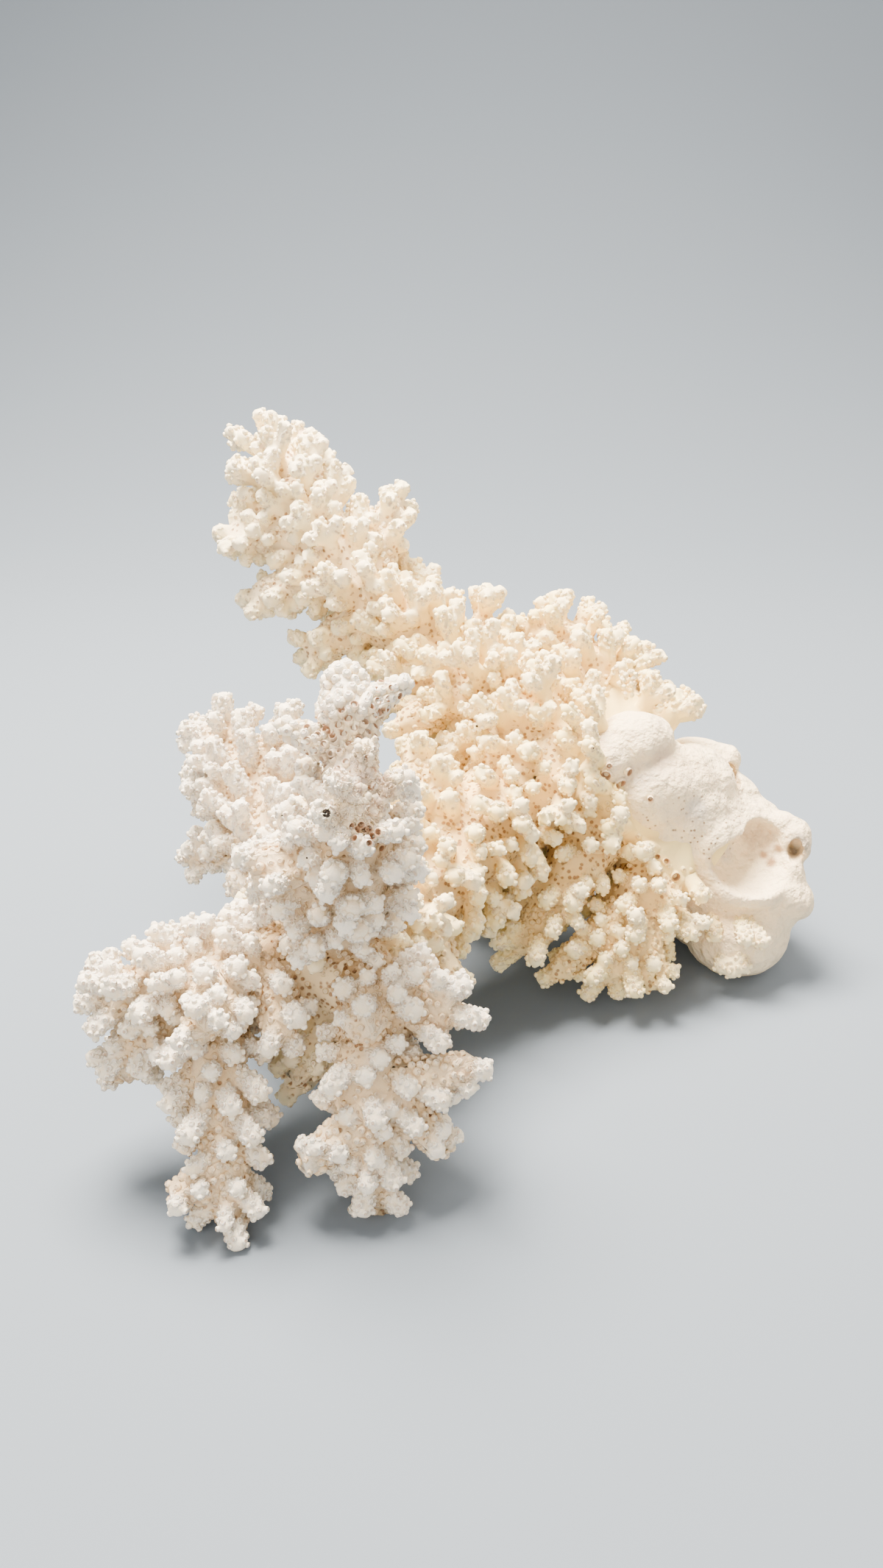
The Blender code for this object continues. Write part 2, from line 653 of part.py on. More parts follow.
def build_lobe(name, colony):
    """One lobe: its cores and fingers fused, with the stubs of the lobes that it bears."""
    bm = bmesh.new()
    own = [core for core in colony.cores.values() if core.limb.node == name]
    borne = [core for core in colony.cores.values() if core.limb.parent and colony.bearer(core.limb) == name]
    for core in own:
        start = max(0.0, core.cut_at - FORK_OVERRUN * MM) if core.limb.parent else 0.0
        add_tube(bm, *dome(*core.stretch(start, core.length)), TUBE_SIDES)
    for core in borne:
        add_tube(bm, *core.stretch(0.0, core.cut_at + FORK_OVERRUN * MM), TUBE_SIDES)
    for finger in colony.fingers:
        if finger.node == name:
            add_finger(bm, finger)
    if name == "trunk":
        add_lump(bm, *SHOULDER)
    lobe = new_object(name, bm)
    fuse(lobe, smoothing=1)
    thin(lobe, KEPT_FACES)
    for core in own:
        if core.limb.parent == "holdfast":
            cut_away(lobe, core, -1, TRUNK_CUT_REACH * MM, TRUNK_CUT_REACH * MM)
        elif core.limb.parent:
            cut_away(lobe, core, -1, core.at(core.cut_at)[2] + CUT_RIM * MM, CUT_DEPTH * MM)
    for core in borne:
        cut_away(lobe, core, 1, core.at(core.cut_at)[2] + CUT_RIM * MM, CUT_DEPTH * MM)
    return lobe


def trim_at_floor(thing):
    """Cuts an object off flat at the height of the table."""
    if min(v.co.z for v in thing.data.vertices) >= 0:
        return
    bm = bmesh.new()
    size = Matrix.Diagonal((*FLOOR_BLOCK, 1))
    bmesh.ops.create_cube(bm, size=1, matrix=Matrix.Translation((0, 0, -0.5 * FLOOR_BLOCK[2])) @ size)
    subtract(thing, new_cutter(bm))


def paint(thing):
    """Gives an object its own plain material."""
    colour = WORN if thing.name == "holdfast" else WHITE if thing.name in WHITE_LOBES else CREAM
    material = bpy.data.materials.new(thing.name + "_chalk")
    material.use_nodes = True
    shader = material.node_tree.nodes["Principled BSDF"]
    shader.inputs["Base Color"].default_value = (*colour, 1)
    shader.inputs["Roughness"].default_value = ROUGHNESS
    shader.inputs["Metallic"].default_value = 0.0
    thing.data.materials.clear()
    thing.data.materials.append(material)


def main():
    """Grows the colony and makes its solids."""
    remove_everything()
    colony = Colony(LIMBS)
    for limb in LIMBS:
        colony.grow(limb)
    things = [build_holdfast(colony)]
    for name in dict.fromkeys(limb.node for limb in LIMBS):
        things.append(build_lobe(name, colony))
    for thing in things:
        trim_at_floor(thing)
        keep_largest_shell(thing)
        paint(thing)


main()
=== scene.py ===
"""The looks of a bleached staghorn coral colony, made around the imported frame.

The colony grows here as it does in the solids, from the same limbs and the same seeds.
Every finger then gets the knobs that hold its cups, and each lobe is melted into one
closed skin that replaces the solid of its node. Sizes are in millimetres unless a name
says otherwise, and the front of the colony faces -Y.
"""

import json
import logging
import math
import random
from collections.abc import Callable, Iterable, Iterator
from dataclasses import dataclass, field
from enum import Enum

import bpy
import numpy as np
from mathutils import Euler, Matrix, Vector, noise
from mathutils.bvhtree import BVHTree
from mathutils.geometry import intersect_point_line
from mathutils.kdtree import KDTree

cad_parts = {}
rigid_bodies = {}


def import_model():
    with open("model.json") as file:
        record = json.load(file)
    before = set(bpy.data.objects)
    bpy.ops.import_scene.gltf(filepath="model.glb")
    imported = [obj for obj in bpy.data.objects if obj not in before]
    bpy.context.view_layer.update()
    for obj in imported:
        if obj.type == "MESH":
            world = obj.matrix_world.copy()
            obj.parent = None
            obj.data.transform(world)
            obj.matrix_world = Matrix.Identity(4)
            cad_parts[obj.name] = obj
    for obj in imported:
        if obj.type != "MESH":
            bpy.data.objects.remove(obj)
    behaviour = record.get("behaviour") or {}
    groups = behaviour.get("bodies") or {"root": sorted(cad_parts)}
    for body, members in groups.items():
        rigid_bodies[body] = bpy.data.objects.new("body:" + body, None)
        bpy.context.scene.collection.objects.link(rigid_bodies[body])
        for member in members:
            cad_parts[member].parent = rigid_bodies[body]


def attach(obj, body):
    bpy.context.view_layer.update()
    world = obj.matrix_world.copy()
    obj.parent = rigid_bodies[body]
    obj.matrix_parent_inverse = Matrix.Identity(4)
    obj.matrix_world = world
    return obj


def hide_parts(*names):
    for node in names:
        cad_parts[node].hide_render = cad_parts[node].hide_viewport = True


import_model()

log = logging.getLogger("coral")

MM = 0.001
GOLDEN_ANGLE = math.radians(137.508)

Point = tuple[float, float, float]
Colour = tuple[float, float, float]

# Where the middle of the colony's footprint lies in the sizes below.
CENTRE = (-1.85, 21.5)

# How the fingers grow: the same values as in the solids.
FINGER_RADIUS = 4.1
SHORTEST_FINGER = 6.0
CLEARANCE = 1.3
FLOOR_CLEARANCE = 1.0
REACH_OF_A_NEIGHBOUR = 60.0
TIP_SPACING = 1.3
FINGER_SPACING = 0.8
CUT_MARGIN = 2.0
TRUNK_CUT = 22.0
PATH_STEP = 2.0


@dataclass(frozen=True)
class Limb:
    """One limb: a core along a path of (x, y, z, radius), with fingers on it."""

    name: str
    node: str
    path: tuple[tuple[float, float, float, float], ...]
    parent: str = ""
    spacing: float = 9.5
    reach: tuple[float, float] = (17.0, 13.0)
    lean: tuple[float, float] = (35.0, 50.0)
    crown: int = 6
    bare: float = 0.0
    lift: float = 0.0
    is_foot: bool = False
    seed: int = 1


LIMBS = (
    Limb("trunk", "trunk", parent="holdfast", reach=(13, 17), lean=(25, 45), lift=0.35, crown=9,
         bare=6, seed=11,
         path=((106, 64, 36, 30), (83, 67, 50, 29), (50, 65, 68, 28), (18, 59, 83, 25))),
    Limb("crown_lobe", "crown_lobe", parent="trunk", reach=(20, 17), lean=(30, 50), crown=8, seed=12,
         path=((55, 80, 80, 24), (43, 99, 101, 18), (33, 112, 116, 13))),
    Limb("crown_right", "crown_lobe", reach=(15, 13), crown=4, seed=32,
         path=((54, 96, 94, 12), (59, 106, 100, 9), (61, 111, 104, 7))),
    Limb("crown_left", "crown_lobe", reach=(13, 12), crown=4, seed=55,
         path=((44, 98, 102, 12), (30, 103, 116, 9), (22, 106, 123, 7))),
    Limb("back_wing", "back_wing", parent="trunk", reach=(20, 16), lean=(30, 45), crown=7, seed=13,
         path=((18, 66, 90, 22), (-11, 86, 110, 17), (-36, 101, 128, 14), (-58, 113, 147, 14),
               (-78, 128, 170, 14), (-89, 139, 187, 10), (-92, 142, 192, 8))),
    Limb("wing_ridge", "back_wing", reach=(16, 14), crown=5, seed=33,
         path=((6, 82, 108, 12), (0, 94, 122, 9), (-3, 100, 129, 7))),
    Limb("wing_left", "back_wing", reach=(11, 9), crown=4, seed=34,
         path=((-73, 121, 161, 10), (-92, 119, 165, 8), (-103, 116, 166, 6))),
    Limb("wing_under", "back_wing", reach=(11, 9), crown=4, seed=53,
         path=((-58, 112, 149, 11), (-80, 110, 147, 8), (-94, 108, 143, 6))),
    Limb("wing_front", "back_wing", reach=(11, 9), crown=4, seed=54,
         path=((-14, 78, 110, 10), (-24, 66, 106, 8), (-31, 60, 104, 7))),
    Limb("wing_low", "back_wing", reach=(11, 9), crown=4, seed=35,
         path=((-44, 104, 136, 12), (-60, 104, 128, 9), (-71, 103, 121, 7))),
    Limb("wing_spur", "back_wing", reach=(11, 9), crown=4, seed=14,
         path=((-50, 109, 145, 9), (-45, 118, 162, 7), (-42, 124, 174, 6))),
    Limb("front_stem", "front_stem", parent="trunk", reach=(15, 13), lean=(25, 35), crown=0, seed=15,
         path=((18, 57, 82, 24), (-9, 24, 69, 20), (-36, -13, 61, 18), (-58, -46, 61, 16))),
    Limb("stem_low", "front_stem", reach=(9, 8), crown=4, seed=52,
         path=((-58, -46, 58, 12), (-63, -58, 40, 9), (-68, -66, 26, 6))),
    Limb("stem_right", "front_stem", reach=(11, 9), crown=4, seed=36,
         path=((-31, -13, 61, 11), (-23, -26, 51, 8), (-19, -30, 47, 6))),
    Limb("stem_top", "front_stem", reach=(11, 9), crown=4, seed=56,
         path=((-16, 16, 78, 12), (-24, 22, 92, 9), (-30, 26, 99, 6))),
    Limb("upper_lobe", "upper_lobe", parent="front_stem", reach=(15, 12), lean=(25, 40), crown=4,
         seed=16,
         path=((-58, -46, 61, 16), (-55, -55, 89, 16), (-50, -64, 114, 14), (-46, -70, 132, 10))),
    Limb("upper_left", "upper_lobe", reach=(10, 8), crown=4, seed=37,
         path=((-57, -60, 102, 11), (-67, -69, 107, 9), (-73, -72, 110, 6))),
    Limb("prong", "upper_lobe", reach=(6, 6), crown=4, bare=40, seed=17,
         path=((-46, -70, 129, 9), (-49, -62, 144, 8), (-52, -56, 155, 8))),
    Limb("prong_left", "upper_lobe", crown=0, bare=40, seed=38,
         path=((-49, -63, 142, 6), (-57, -65, 148, 5), (-64, -65, 152, 4))),
    Limb("prong_right", "upper_lobe", crown=0, bare=40, seed=39,
         path=((-48, -59, 151, 6), (-40, -54, 158, 5), (-32, -51, 161, 4))),
    Limb("rear_left_lobe", "rear_left_lobe", parent="front_stem", reach=(15, 13), lean=(30, 45),
         crown=6, seed=18,
         path=((-61, -38, 67, 14), (-77, -12, 82, 14), (-92, 8, 99, 12), (-100, 20, 112, 8))),
    Limb("rear_left_ridge", "rear_left_lobe", reach=(11, 9), crown=4, seed=40,
         path=((-82, -5, 90, 11), (-80, 8, 107, 9), (-79, 15, 116, 7))),
    Limb("rear_left_spur", "rear_left_lobe", reach=(8, 7), crown=3, seed=19,
         path=((-80, -7, 82, 8), (-101, 2, 78, 6), (-111, 5, 73, 5))),
    Limb("left_lobe", "left_lobe", parent="front_stem", reach=(14, 11), lean=(25, 45), crown=6,
         seed=20,
         path=((-60, -48, 60, 16), (-79, -57, 61, 14), (-97, -64, 64, 13), (-112, -71, 66, 10),
               (-121, -75, 65, 7))),
    Limb("left_front", "left_lobe", reach=(9, 8), crown=4, seed=41,
         path=((-92, -68, 66, 10), (-92, -84, 66, 8), (-94, -91, 65, 6))),
    Limb("left_low", "left_lobe", reach=(10, 8), crown=4, seed=42,
         path=((-106, -66, 63, 11), (-117, -74, 50, 9), (-123, -78, 41, 7))),
    Limb("left_inner", "left_lobe", reach=(9, 8), crown=3, seed=43,
         path=((-78, -61, 64, 9), (-73, -74, 59, 7), (-72, -79, 57, 6))),
    Limb("left_leg", "left_leg", parent="left_lobe", reach=(14, 9), lean=(20, 35), crown=0,
         is_foot=True, seed=21,
         path=((-95, -64, 58, 12), (-93, -82, 45, 10), (-90, -95, 29, 8), (-87, -105, 14, 6),
               (-86, -109, 3, 5))),
    Limb("left_toe", "left_leg", reach=(7, 6), crown=3, bare=40, seed=44,
         path=((-88, -102, 19, 7), (-97, -108, 16, 6), (-102, -109, 15, 4))),
    Limb("right_lobe", "right_lobe", parent="front_stem", reach=(14, 11), lean=(25, 45), crown=5,
         seed=22,
         path=((-58, -49, 59, 16), (-43, -63, 58, 13), (-31, -70, 57, 10), (-21, -73, 58, 7))),
    Limb("right_front", "right_lobe", reach=(9, 8), crown=4, seed=45,
         path=((-42, -67, 59, 9), (-43, -78, 59, 8), (-44, -84, 59, 6))),
    Limb("right_leg", "right_leg", parent="right_lobe", reach=(11, 8), lean=(25, 35), crown=0,
         is_foot=True, seed=23,
         path=((-41, -67, 54, 12), (-44, -85, 43, 10), (-44, -95, 27, 8), (-42, -99, 12, 6),
               (-40, -100, 3, 5))),
    Limb("right_arm", "right_leg", reach=(8, 7), crown=4, seed=46,
         path=((-42, -85, 43, 7), (-27, -87, 42, 6), (-14, -86, 44, 5))),
    Limb("right_arm_low", "right_leg", reach=(7, 6), crown=3, seed=47,
         path=((-40, -89, 37, 7), (-27, -92, 28, 6), (-21, -93, 20, 5))),
    Limb("right_toe", "right_leg", reach=(7, 6), crown=2, bare=40, seed=48,
         path=((-44, -95, 30, 7), (-54, -101, 27, 6), (-60, -104, 23, 5))),
    Limb("right_fan", "right_fan", parent="trunk", reach=(15, 12), lean=(30, 45), crown=4, seed=24,
         path=((71, 50, 50, 18), (60, 30, 36, 13), (52, 18, 25, 9), (48, 13, 19, 7))),
    Limb("right_fan_outer", "right_fan", reach=(9, 7), crown=3, seed=49,
         path=((58, 26, 34, 8), (62, 13, 22, 6), (63, 8, 15, 5))),
    Limb("right_fan_inner", "right_fan", reach=(9, 7), crown=3, seed=50,
         path=((53, 24, 36, 8), (37, 14, 27, 6), (27, 8, 20, 5))),
    Limb("middle_fan", "middle_fan", parent="trunk", reach=(14, 12), lean=(30, 45), crown=4, seed=25,
         path=((40, 45, 62, 16), (30, 28, 48, 11), (20, 17, 37, 8), (14, 12, 31, 6))),
    Limb("middle_fan_inner", "middle_fan", reach=(9, 7), crown=3, seed=51,
         path=((32, 32, 50, 9), (15, 28, 46, 7), (7, 25, 41, 5))),
    Limb("rear_leg", "rear_leg", parent="trunk", reach=(13, 10), lean=(25, 35), crown=3,
         is_foot=True, seed=26,
         path=((14, 64, 84, 18), (-6, 80, 56, 13), (-20, 90, 26, 9), (-26, 93, 10, 6),
               (-28, 94, 2, 4))),
)

# Where the skin is smooth and no finger grows: centre and radius.
BALD = (
    ((70, 56, 92), 17),
    ((98, 42, 66), 19),
    ((114, 44, 40), 22),
    ((102, 70, 70), 24),
)


# The broken prong as the photograph shows it: finer than in the solids, where it is stouter.
PRONG = (
    Limb("prong", "upper_lobe", crown=0, bare=40, seed=17,
         path=((-47, -70, 129, 9), (-47.5, -65, 139, 7.5), (-47.5, -60, 148, 7.5), (-48, -56, 156, 9.5),
               (-49, -53, 162, 6.5))),
    Limb("prong_left", "upper_lobe", crown=0, bare=40, seed=38,
         path=((-50, -63, 145, 5.5), (-57.6, -63, 148, 4.2), (-66, -63.5, 152, 2.8))),
    Limb("prong_right", "upper_lobe", crown=0, bare=40, seed=39,
         path=((-44, -57, 155, 5), (-38, -54, 159, 3.8), (-31.5, -52, 161.5, 2.4))),
)

# Where the worn skin lies over the trunk, so that nothing grows out of it: centre and radius.
WORN = (
    ((56, 56, 98), 26),
    ((80, 40, 76), 24),
    ((92, 26, 54), 13),
    ((86, 76, 92), 9),
)

# The short fingers under the holdfast's lip: root and tip.
LIP_FINGERS = (
    ((90, 38, 31), (90.5, 23, 23.5)),
    ((102, 34, 30), (109, 17, 25)),
    ((101, 34, 30), (101.5, 16, 26.5)),
    ((97, 32, 20), (93, 20, 10.5)),
    ((99, 32, 20), (102, 17, 12.6)),
    ((98, 32, 20), (97.5, 18, 9.5)),
)


def is_worn(point: Vector) -> bool:
    """Whether a point lies where the worn skin covers the trunk."""
    return any((point - place(*centre)).length < radius * MM for centre, radius in WORN)


def place(x: float, y: float, z: float) -> Vector:
    """A point given in millimetres, as metres about the middle of the footprint."""
    return Vector(((x - CENTRE[0]) * MM, (y - CENTRE[1]) * MM, z * MM))


def side_directions(tangent: Vector) -> tuple[Vector, Vector]:
    """Two directions square to a tangent and to each other."""
    first = tangent.cross(Vector((0, 0, 1)) if abs(tangent.z) < 0.9 else Vector((1, 0, 0))).normalized()
    return first, tangent.cross(first)


def catmull_rom(before, start, end, after, share: float):
    """A value on the smooth curve from start to end, before and after being its neighbours."""
    return 0.5 * (2 * start + (end - before) * share
                  + (2 * before - 5 * start + 4 * end - after) * share ** 2
                  + (3 * start - before - 3 * end + after) * share ** 3)


def gap_between(a: Vector, b: Vector, c: Vector, d: Vector) -> float:
    """The shortest distance between the straight stretches a to b and c to d."""
    u, v, w = b - a, d - c, a - c
    uu, uv, vv, uw, vw = u.dot(u), u.dot(v), v.dot(v), u.dot(w), v.dot(w)
    spread = uu * vv - uv * uv
    s = min(max((uv * vw - vv * uw) / spread, 0.0), 1.0) if spread > 1e-14 else 0.0
    t = (uv * s + vw) / vv if vv > 1e-14 else 0.0
    if t < 0.0 or t > 1.0:
        t = min(max(t, 0.0), 1.0)
        s = min(max((uv * t - uw) / uu, 0.0), 1.0) if uu > 1e-14 else 0.0
    return ((a + u * s) - (c + v * t)).length


class Core:
    """The smooth centre line of a limb, as evenly spaced points with a radius each, in metres."""

    def __init__(self, limb: Limb) -> None:
        """Draws the curve through the limb's path."""
        self.limb = limb
        knots = [place(*point[:3]) for point in limb.path]
        widths = [point[3] * MM for point in limb.path]
        knots = [2 * knots[0] - knots[1], *knots, 2 * knots[-1] - knots[-2]]
        widths = [widths[0], *widths, widths[-1]]
        self.points: list[Vector] = []
        self.radii: list[float] = []
        for i in range(1, len(knots) - 2):
            steps = max(2, round((knots[i + 1] - knots[i]).length / (PATH_STEP * MM)))
            for k in range(steps):
                share = k / steps
                self.points.append(catmull_rom(*knots[i - 1:i + 3], share))
                self.radii.append(catmull_rom(*widths[i - 1:i + 3], share))
        self.points.append(knots[-2])
        self.radii.append(widths[-2])
        self.along = [0.0]
        for a, b in zip(self.points, self.points[1:]):
            self.along.append(self.along[-1] + (b - a).length)
        self.length = self.along[-1]
        self.cut_at = 0.0
        self.kept_stretches: dict[tuple[float, float], tuple[list[Vector], list[float]]] = {}

    def at(self, distance: float) -> tuple[Vector, Vector, float]:
        """The point, direction and radius at a distance along the core."""
        distance = min(max(distance, 0.0), self.length)
        i = next((k for k in range(1, len(self.along)) if self.along[k] >= distance), len(self.along) - 1)
        span = self.along[i] - self.along[i - 1]
        share = (distance - self.along[i - 1]) / span
        point = self.points[i - 1].lerp(self.points[i], share)
        radius = self.radii[i - 1] + (self.radii[i] - self.radii[i - 1]) * share
        return point, (self.points[i] - self.points[i - 1]).normalized(), radius

    def stretch(self, start: float, end: float) -> tuple[list[Vector], list[float]]:
        """Points and radii of the part of the core between two distances."""
        count = max(2, round((end - start) / (PATH_STEP * MM)))
        found = [self.at(start + (end - start) * k / count) for k in range(count + 1)]
        return [f[0] for f in found], [f[2] for f in found]

    def stretch_room(self, start: float, end: float, point: Vector) -> float:
        """How far a point is from the surface of a stretch of the core."""
        key = (start, end)
        if key not in self.kept_stretches:
            self.kept_stretches[key] = self.stretch(start, end)
        points, radii = self.kept_stretches[key]
        best = math.inf
        for i in range(len(points) - 1):
            foot, share = intersect_point_line(point, points[i], points[i + 1])
            foot = points[i] if share < 0 else points[i + 1] if share > 1 else foot
            best = min(best, (point - foot).length - radii[i])
        return best

    def nearest(self, point: Vector) -> tuple[float, float, Vector]:
        """Distance from a point to the centre line, the radius there, and the nearest point."""
        best = (math.inf, 0.0, point)
        for i in range(len(self.points) - 1):
            a, b = self.points[i], self.points[i + 1]
            foot, share = intersect_point_line(point, a, b)
            foot = a if share < 0 else b if share > 1 else foot
            away = (point - foot).length
            if away < best[0]:
                best = (away, self.radii[i], foot)
        return best

    def find_cut(self, parent: "Core") -> float:
        """How far along the limb its fork is: where its section first stands clear of the parent."""
        distance = 0.0
        while distance < self.length:
            point, tangent, radius = self.at(distance)
            away, parent_radius, foot = parent.nearest(point)
            if away > 1e-6:
                outwards = (point - foot) / away
                tilt = math.sqrt(max(0.0, 1 - tangent.dot(outwards) ** 2))
                if away - parent_radius - (radius + CUT_MARGIN * MM) * tilt > 0:
                    return distance
            distance += 0.5 * MM
        raise ValueError(f"{self.limb.name} never leaves {parent.limb.name}")


@dataclass
class Finger:
    """One branchlet: three points of its curve, its radius, and how far it stands out, in metres."""

    points: list[Vector]
    radius: float
    node: str
    limb: str
    reach: float

    def at(self, share: float) -> tuple[Vector, Vector]:
        """The point and direction at a share of the way along, on a smooth curve through the points."""
        a, b, c = self.points
        hinge = 2 * b - 0.5 * (a + c)
        point = a * (1 - share) ** 2 + hinge * 2 * share * (1 - share) + c * share ** 2
        return point, ((hinge - a) * (1 - share) + (c - hinge) * share).normalized()

    @property
    def length(self) -> float:
        """The whole length, root included."""
        a, b, c = self.points
        return (b - a).length + (c - b).length


class Colony:
    """All cores and the fingers grown so far, so that each new finger keeps clear of them."""

    def __init__(self, limbs: Iterable[Limb]) -> None:
        """Lays out the cores and finds where each is cut from its parent."""
        self.cores = {limb.name: Core(limb) for limb in limbs}
        self.fingers: list[Finger] = []
        for core in self.cores.values():
            if core.limb.parent in self.cores:
                core.cut_at = core.find_cut(self.cores[core.limb.parent])
            elif core.limb.parent:
                core.cut_at = TRUNK_CUT * MM

    def node_of(self, limb: Limb, distance: float) -> str:
        """The node that owns a limb at a distance along it: up to its cut, a limb is its parent's."""
        if not limb.parent or distance >= self.cores[limb.name].cut_at:
            return limb.node
        return self.bearer(limb)

    def bearer(self, limb: Limb) -> str:
        """The node that bears a limb."""
        return self.cores[limb.parent].limb.node if limb.parent in self.cores else limb.parent

    def clear_of_cores(self, samples: list[Vector], radius: float, node: str, own: str) -> bool:
        """Whether a finger stands clear of the cores of other nodes, and isn't buried in its own."""
        for core in self.cores.values():
            at, tangent, _ = core.at(core.cut_at)
            for start, end in ((0.0, core.cut_at), (core.cut_at, core.length)):
                if end - start < 0.5 * MM:
                    continue
                owner = self.node_of(core.limb, start)
                if owner == node and core.limb.name == own:
                    continue
                keep = 0.0 if owner == node else CLEARANCE * MM
                for sample in samples[-1:] if owner == node else samples:
                    ahead = (sample - at).dot(tangent) if core.cut_at else 1.0
                    if core.cut_at and (ahead < -radius * 0.7 if start else ahead > radius * 0.7):
                        continue
                    if core.stretch_room(start, end, sample) < radius + keep:
                        return False
        return True

    def is_inside(self, point: Vector, own: str) -> bool:
        """Whether a point lies inside another limb than its own."""
        return any(
            core.stretch_room(0.0, core.length, point) < 0
            for core in self.cores.values() if core.limb.name != own
        )

    def clear_of_fingers(self, points: list[Vector], radius: float, node: str) -> bool:
        """Whether a finger stands clear of other nodes' fingers, and apart from those of its own."""
        for other in self.fingers:
            if (other.points[1] - points[1]).length > REACH_OF_A_NEIGHBOUR * MM:
                continue
            both = radius + other.radius
            if other.node == node:
                if (other.points[2] - points[2]).length < TIP_SPACING * both:
                    return False
                if gap_between(points[1], points[2], *other.points[1:]) < FINGER_SPACING * both:
                    return False
                continue
            for a, b in zip(points, points[1:]):
                for c, d in zip(other.points, other.points[1:]):
                    if gap_between(a, b, c, d) < both + CLEARANCE * MM:
                        return False
        return True

    def room_for(self, points: list[Vector], radius: float, limb: Limb, node: str) -> bool:
        """Whether there is room for a finger."""
        samples = [points[0].lerp(points[1], 0.6), points[1], points[1].lerp(points[2], 0.5), points[2]]
        if any((s - place(*centre)).length < size * MM for centre, size in BALD for s in samples[1:]):
            return False
        lowest = min(s.z for s in samples) - radius
        if lowest < FLOOR_CLEARANCE * MM and not limb.is_foot:
            return False
        if not self.clear_of_fingers(points, radius, node):
            return False
        return self.clear_of_cores(samples, radius, node, limb.name)

    def try_finger(self, limb: Limb, node: str, root: Vector, direction: Vector, tangent: Vector,
                   reach: float, radius: float, buried: float) -> None:
        """Grows a finger, shorter where there is little room, or none where there is no room at all."""
        while reach > SHORTEST_FINGER * MM:
            curled = (direction + 0.3 * tangent).normalized()
            half = (reach + buried) * 0.5
            points = [root, root + direction * half, root + direction * half + curled * half]
            if self.room_for(points, radius, limb, node):
                self.fingers.append(Finger(points, radius, node, limb.name, reach))
                return
            reach *= 0.8

    def grow(self, limb: Limb) -> None:
        """Covers one limb with fingers, on a spiral that spaces them evenly, and crowns its tip."""
        core = self.cores[limb.name]
        dice = random.Random(limb.seed)
        radius = FINGER_RADIUS * MM
        self.crown_tip(limb, core, dice, radius)
        distance = limb.bare * MM
        turn = dice.uniform(0, 2 * math.pi)
        while distance < core.length:
            point, tangent, core_radius = core.at(distance)
            share = distance / core.length
            first, second = side_directions(tangent)
            angle = turn + dice.uniform(-0.25, 0.25)
            outwards = first * math.cos(angle) + second * math.sin(angle)
            lean = math.radians(limb.lean[0] + (limb.lean[1] - limb.lean[0]) * share + dice.uniform(-8, 8))
            direction = (outwards * math.cos(lean) + tangent * math.sin(lean)).normalized()
            reach = (limb.reach[0] + (limb.reach[1] - limb.reach[0]) * share) * dice.uniform(0.8, 1.15) * MM
            reach *= 1 + limb.lift * outwards.z
            buried = 0.75 * core_radius
            root = point + outwards * core_radius - direction * buried
            girth = radius * dice.uniform(0.9, 1.1)
            here = distance
            turn += GOLDEN_ANGLE
            distance += limb.spacing ** 2 * MM * MM / (2 * math.pi * core_radius)
            if self.is_inside(point + outwards * core_radius, limb.name):
                continue
            if not core.cut_at or abs(here - core.cut_at) > girth:
                node = self.node_of(limb, here)
                self.try_finger(limb, node, root, direction, tangent, reach, girth, buried)

    def crown_tip(self, limb: Limb, core: Core, dice: random.Random, radius: float) -> None:
        """Spreads fingers over the rounded end of a limb."""
        point, tangent, core_radius = core.at(core.length)
        first, second = side_directions(tangent)
        for k in range(limb.crown):
            tilt = math.acos(1 - 0.75 * (k + 0.3) / limb.crown)
            angle = k * GOLDEN_ANGLE + dice.uniform(-0.2, 0.2)
            outwards = first * math.cos(angle) + second * math.sin(angle)
            direction = (tangent * math.cos(tilt) + outwards * math.sin(tilt)).normalized()
            reach = limb.reach[1] * dice.uniform(0.85, 1.1) * MM
            self.try_finger(limb, limb.node, point, direction, tangent, reach, radius, core_radius * 0.8)


@dataclass(frozen=True)
class Habit:
    """How a lobe's fingers look: as shares of a finger's radius or reach, and in square millimetres."""

    body: float
    ring: float
    knob: float
    patch: float
    covered: float
    fades_to: float
    forks: int
    fork_from: tuple[float, float]
    fork_reach: tuple[float, float]
    filler_spacing: float
    filler_reach: float


class Growth(Enum):
    """The two ways in which this colony's lobes have grown."""

    LONG = Habit(body=0.84, ring=0.70, knob=0.32, patch=6.6, covered=0.3, fades_to=0.6, forks=3,
                 fork_from=(0.5, 0.75), fork_reach=(1.0, 1.3), filler_spacing=6.5, filler_reach=0.7)
    KNOBBY = Habit(body=0.79, ring=0.73, knob=0.285, patch=5.4, covered=0.85, fades_to=1.0, forks=3,
                   fork_from=(0.45, 0.8), fork_reach=(0.95, 1.25), filler_spacing=6.0, filler_reach=0.7)


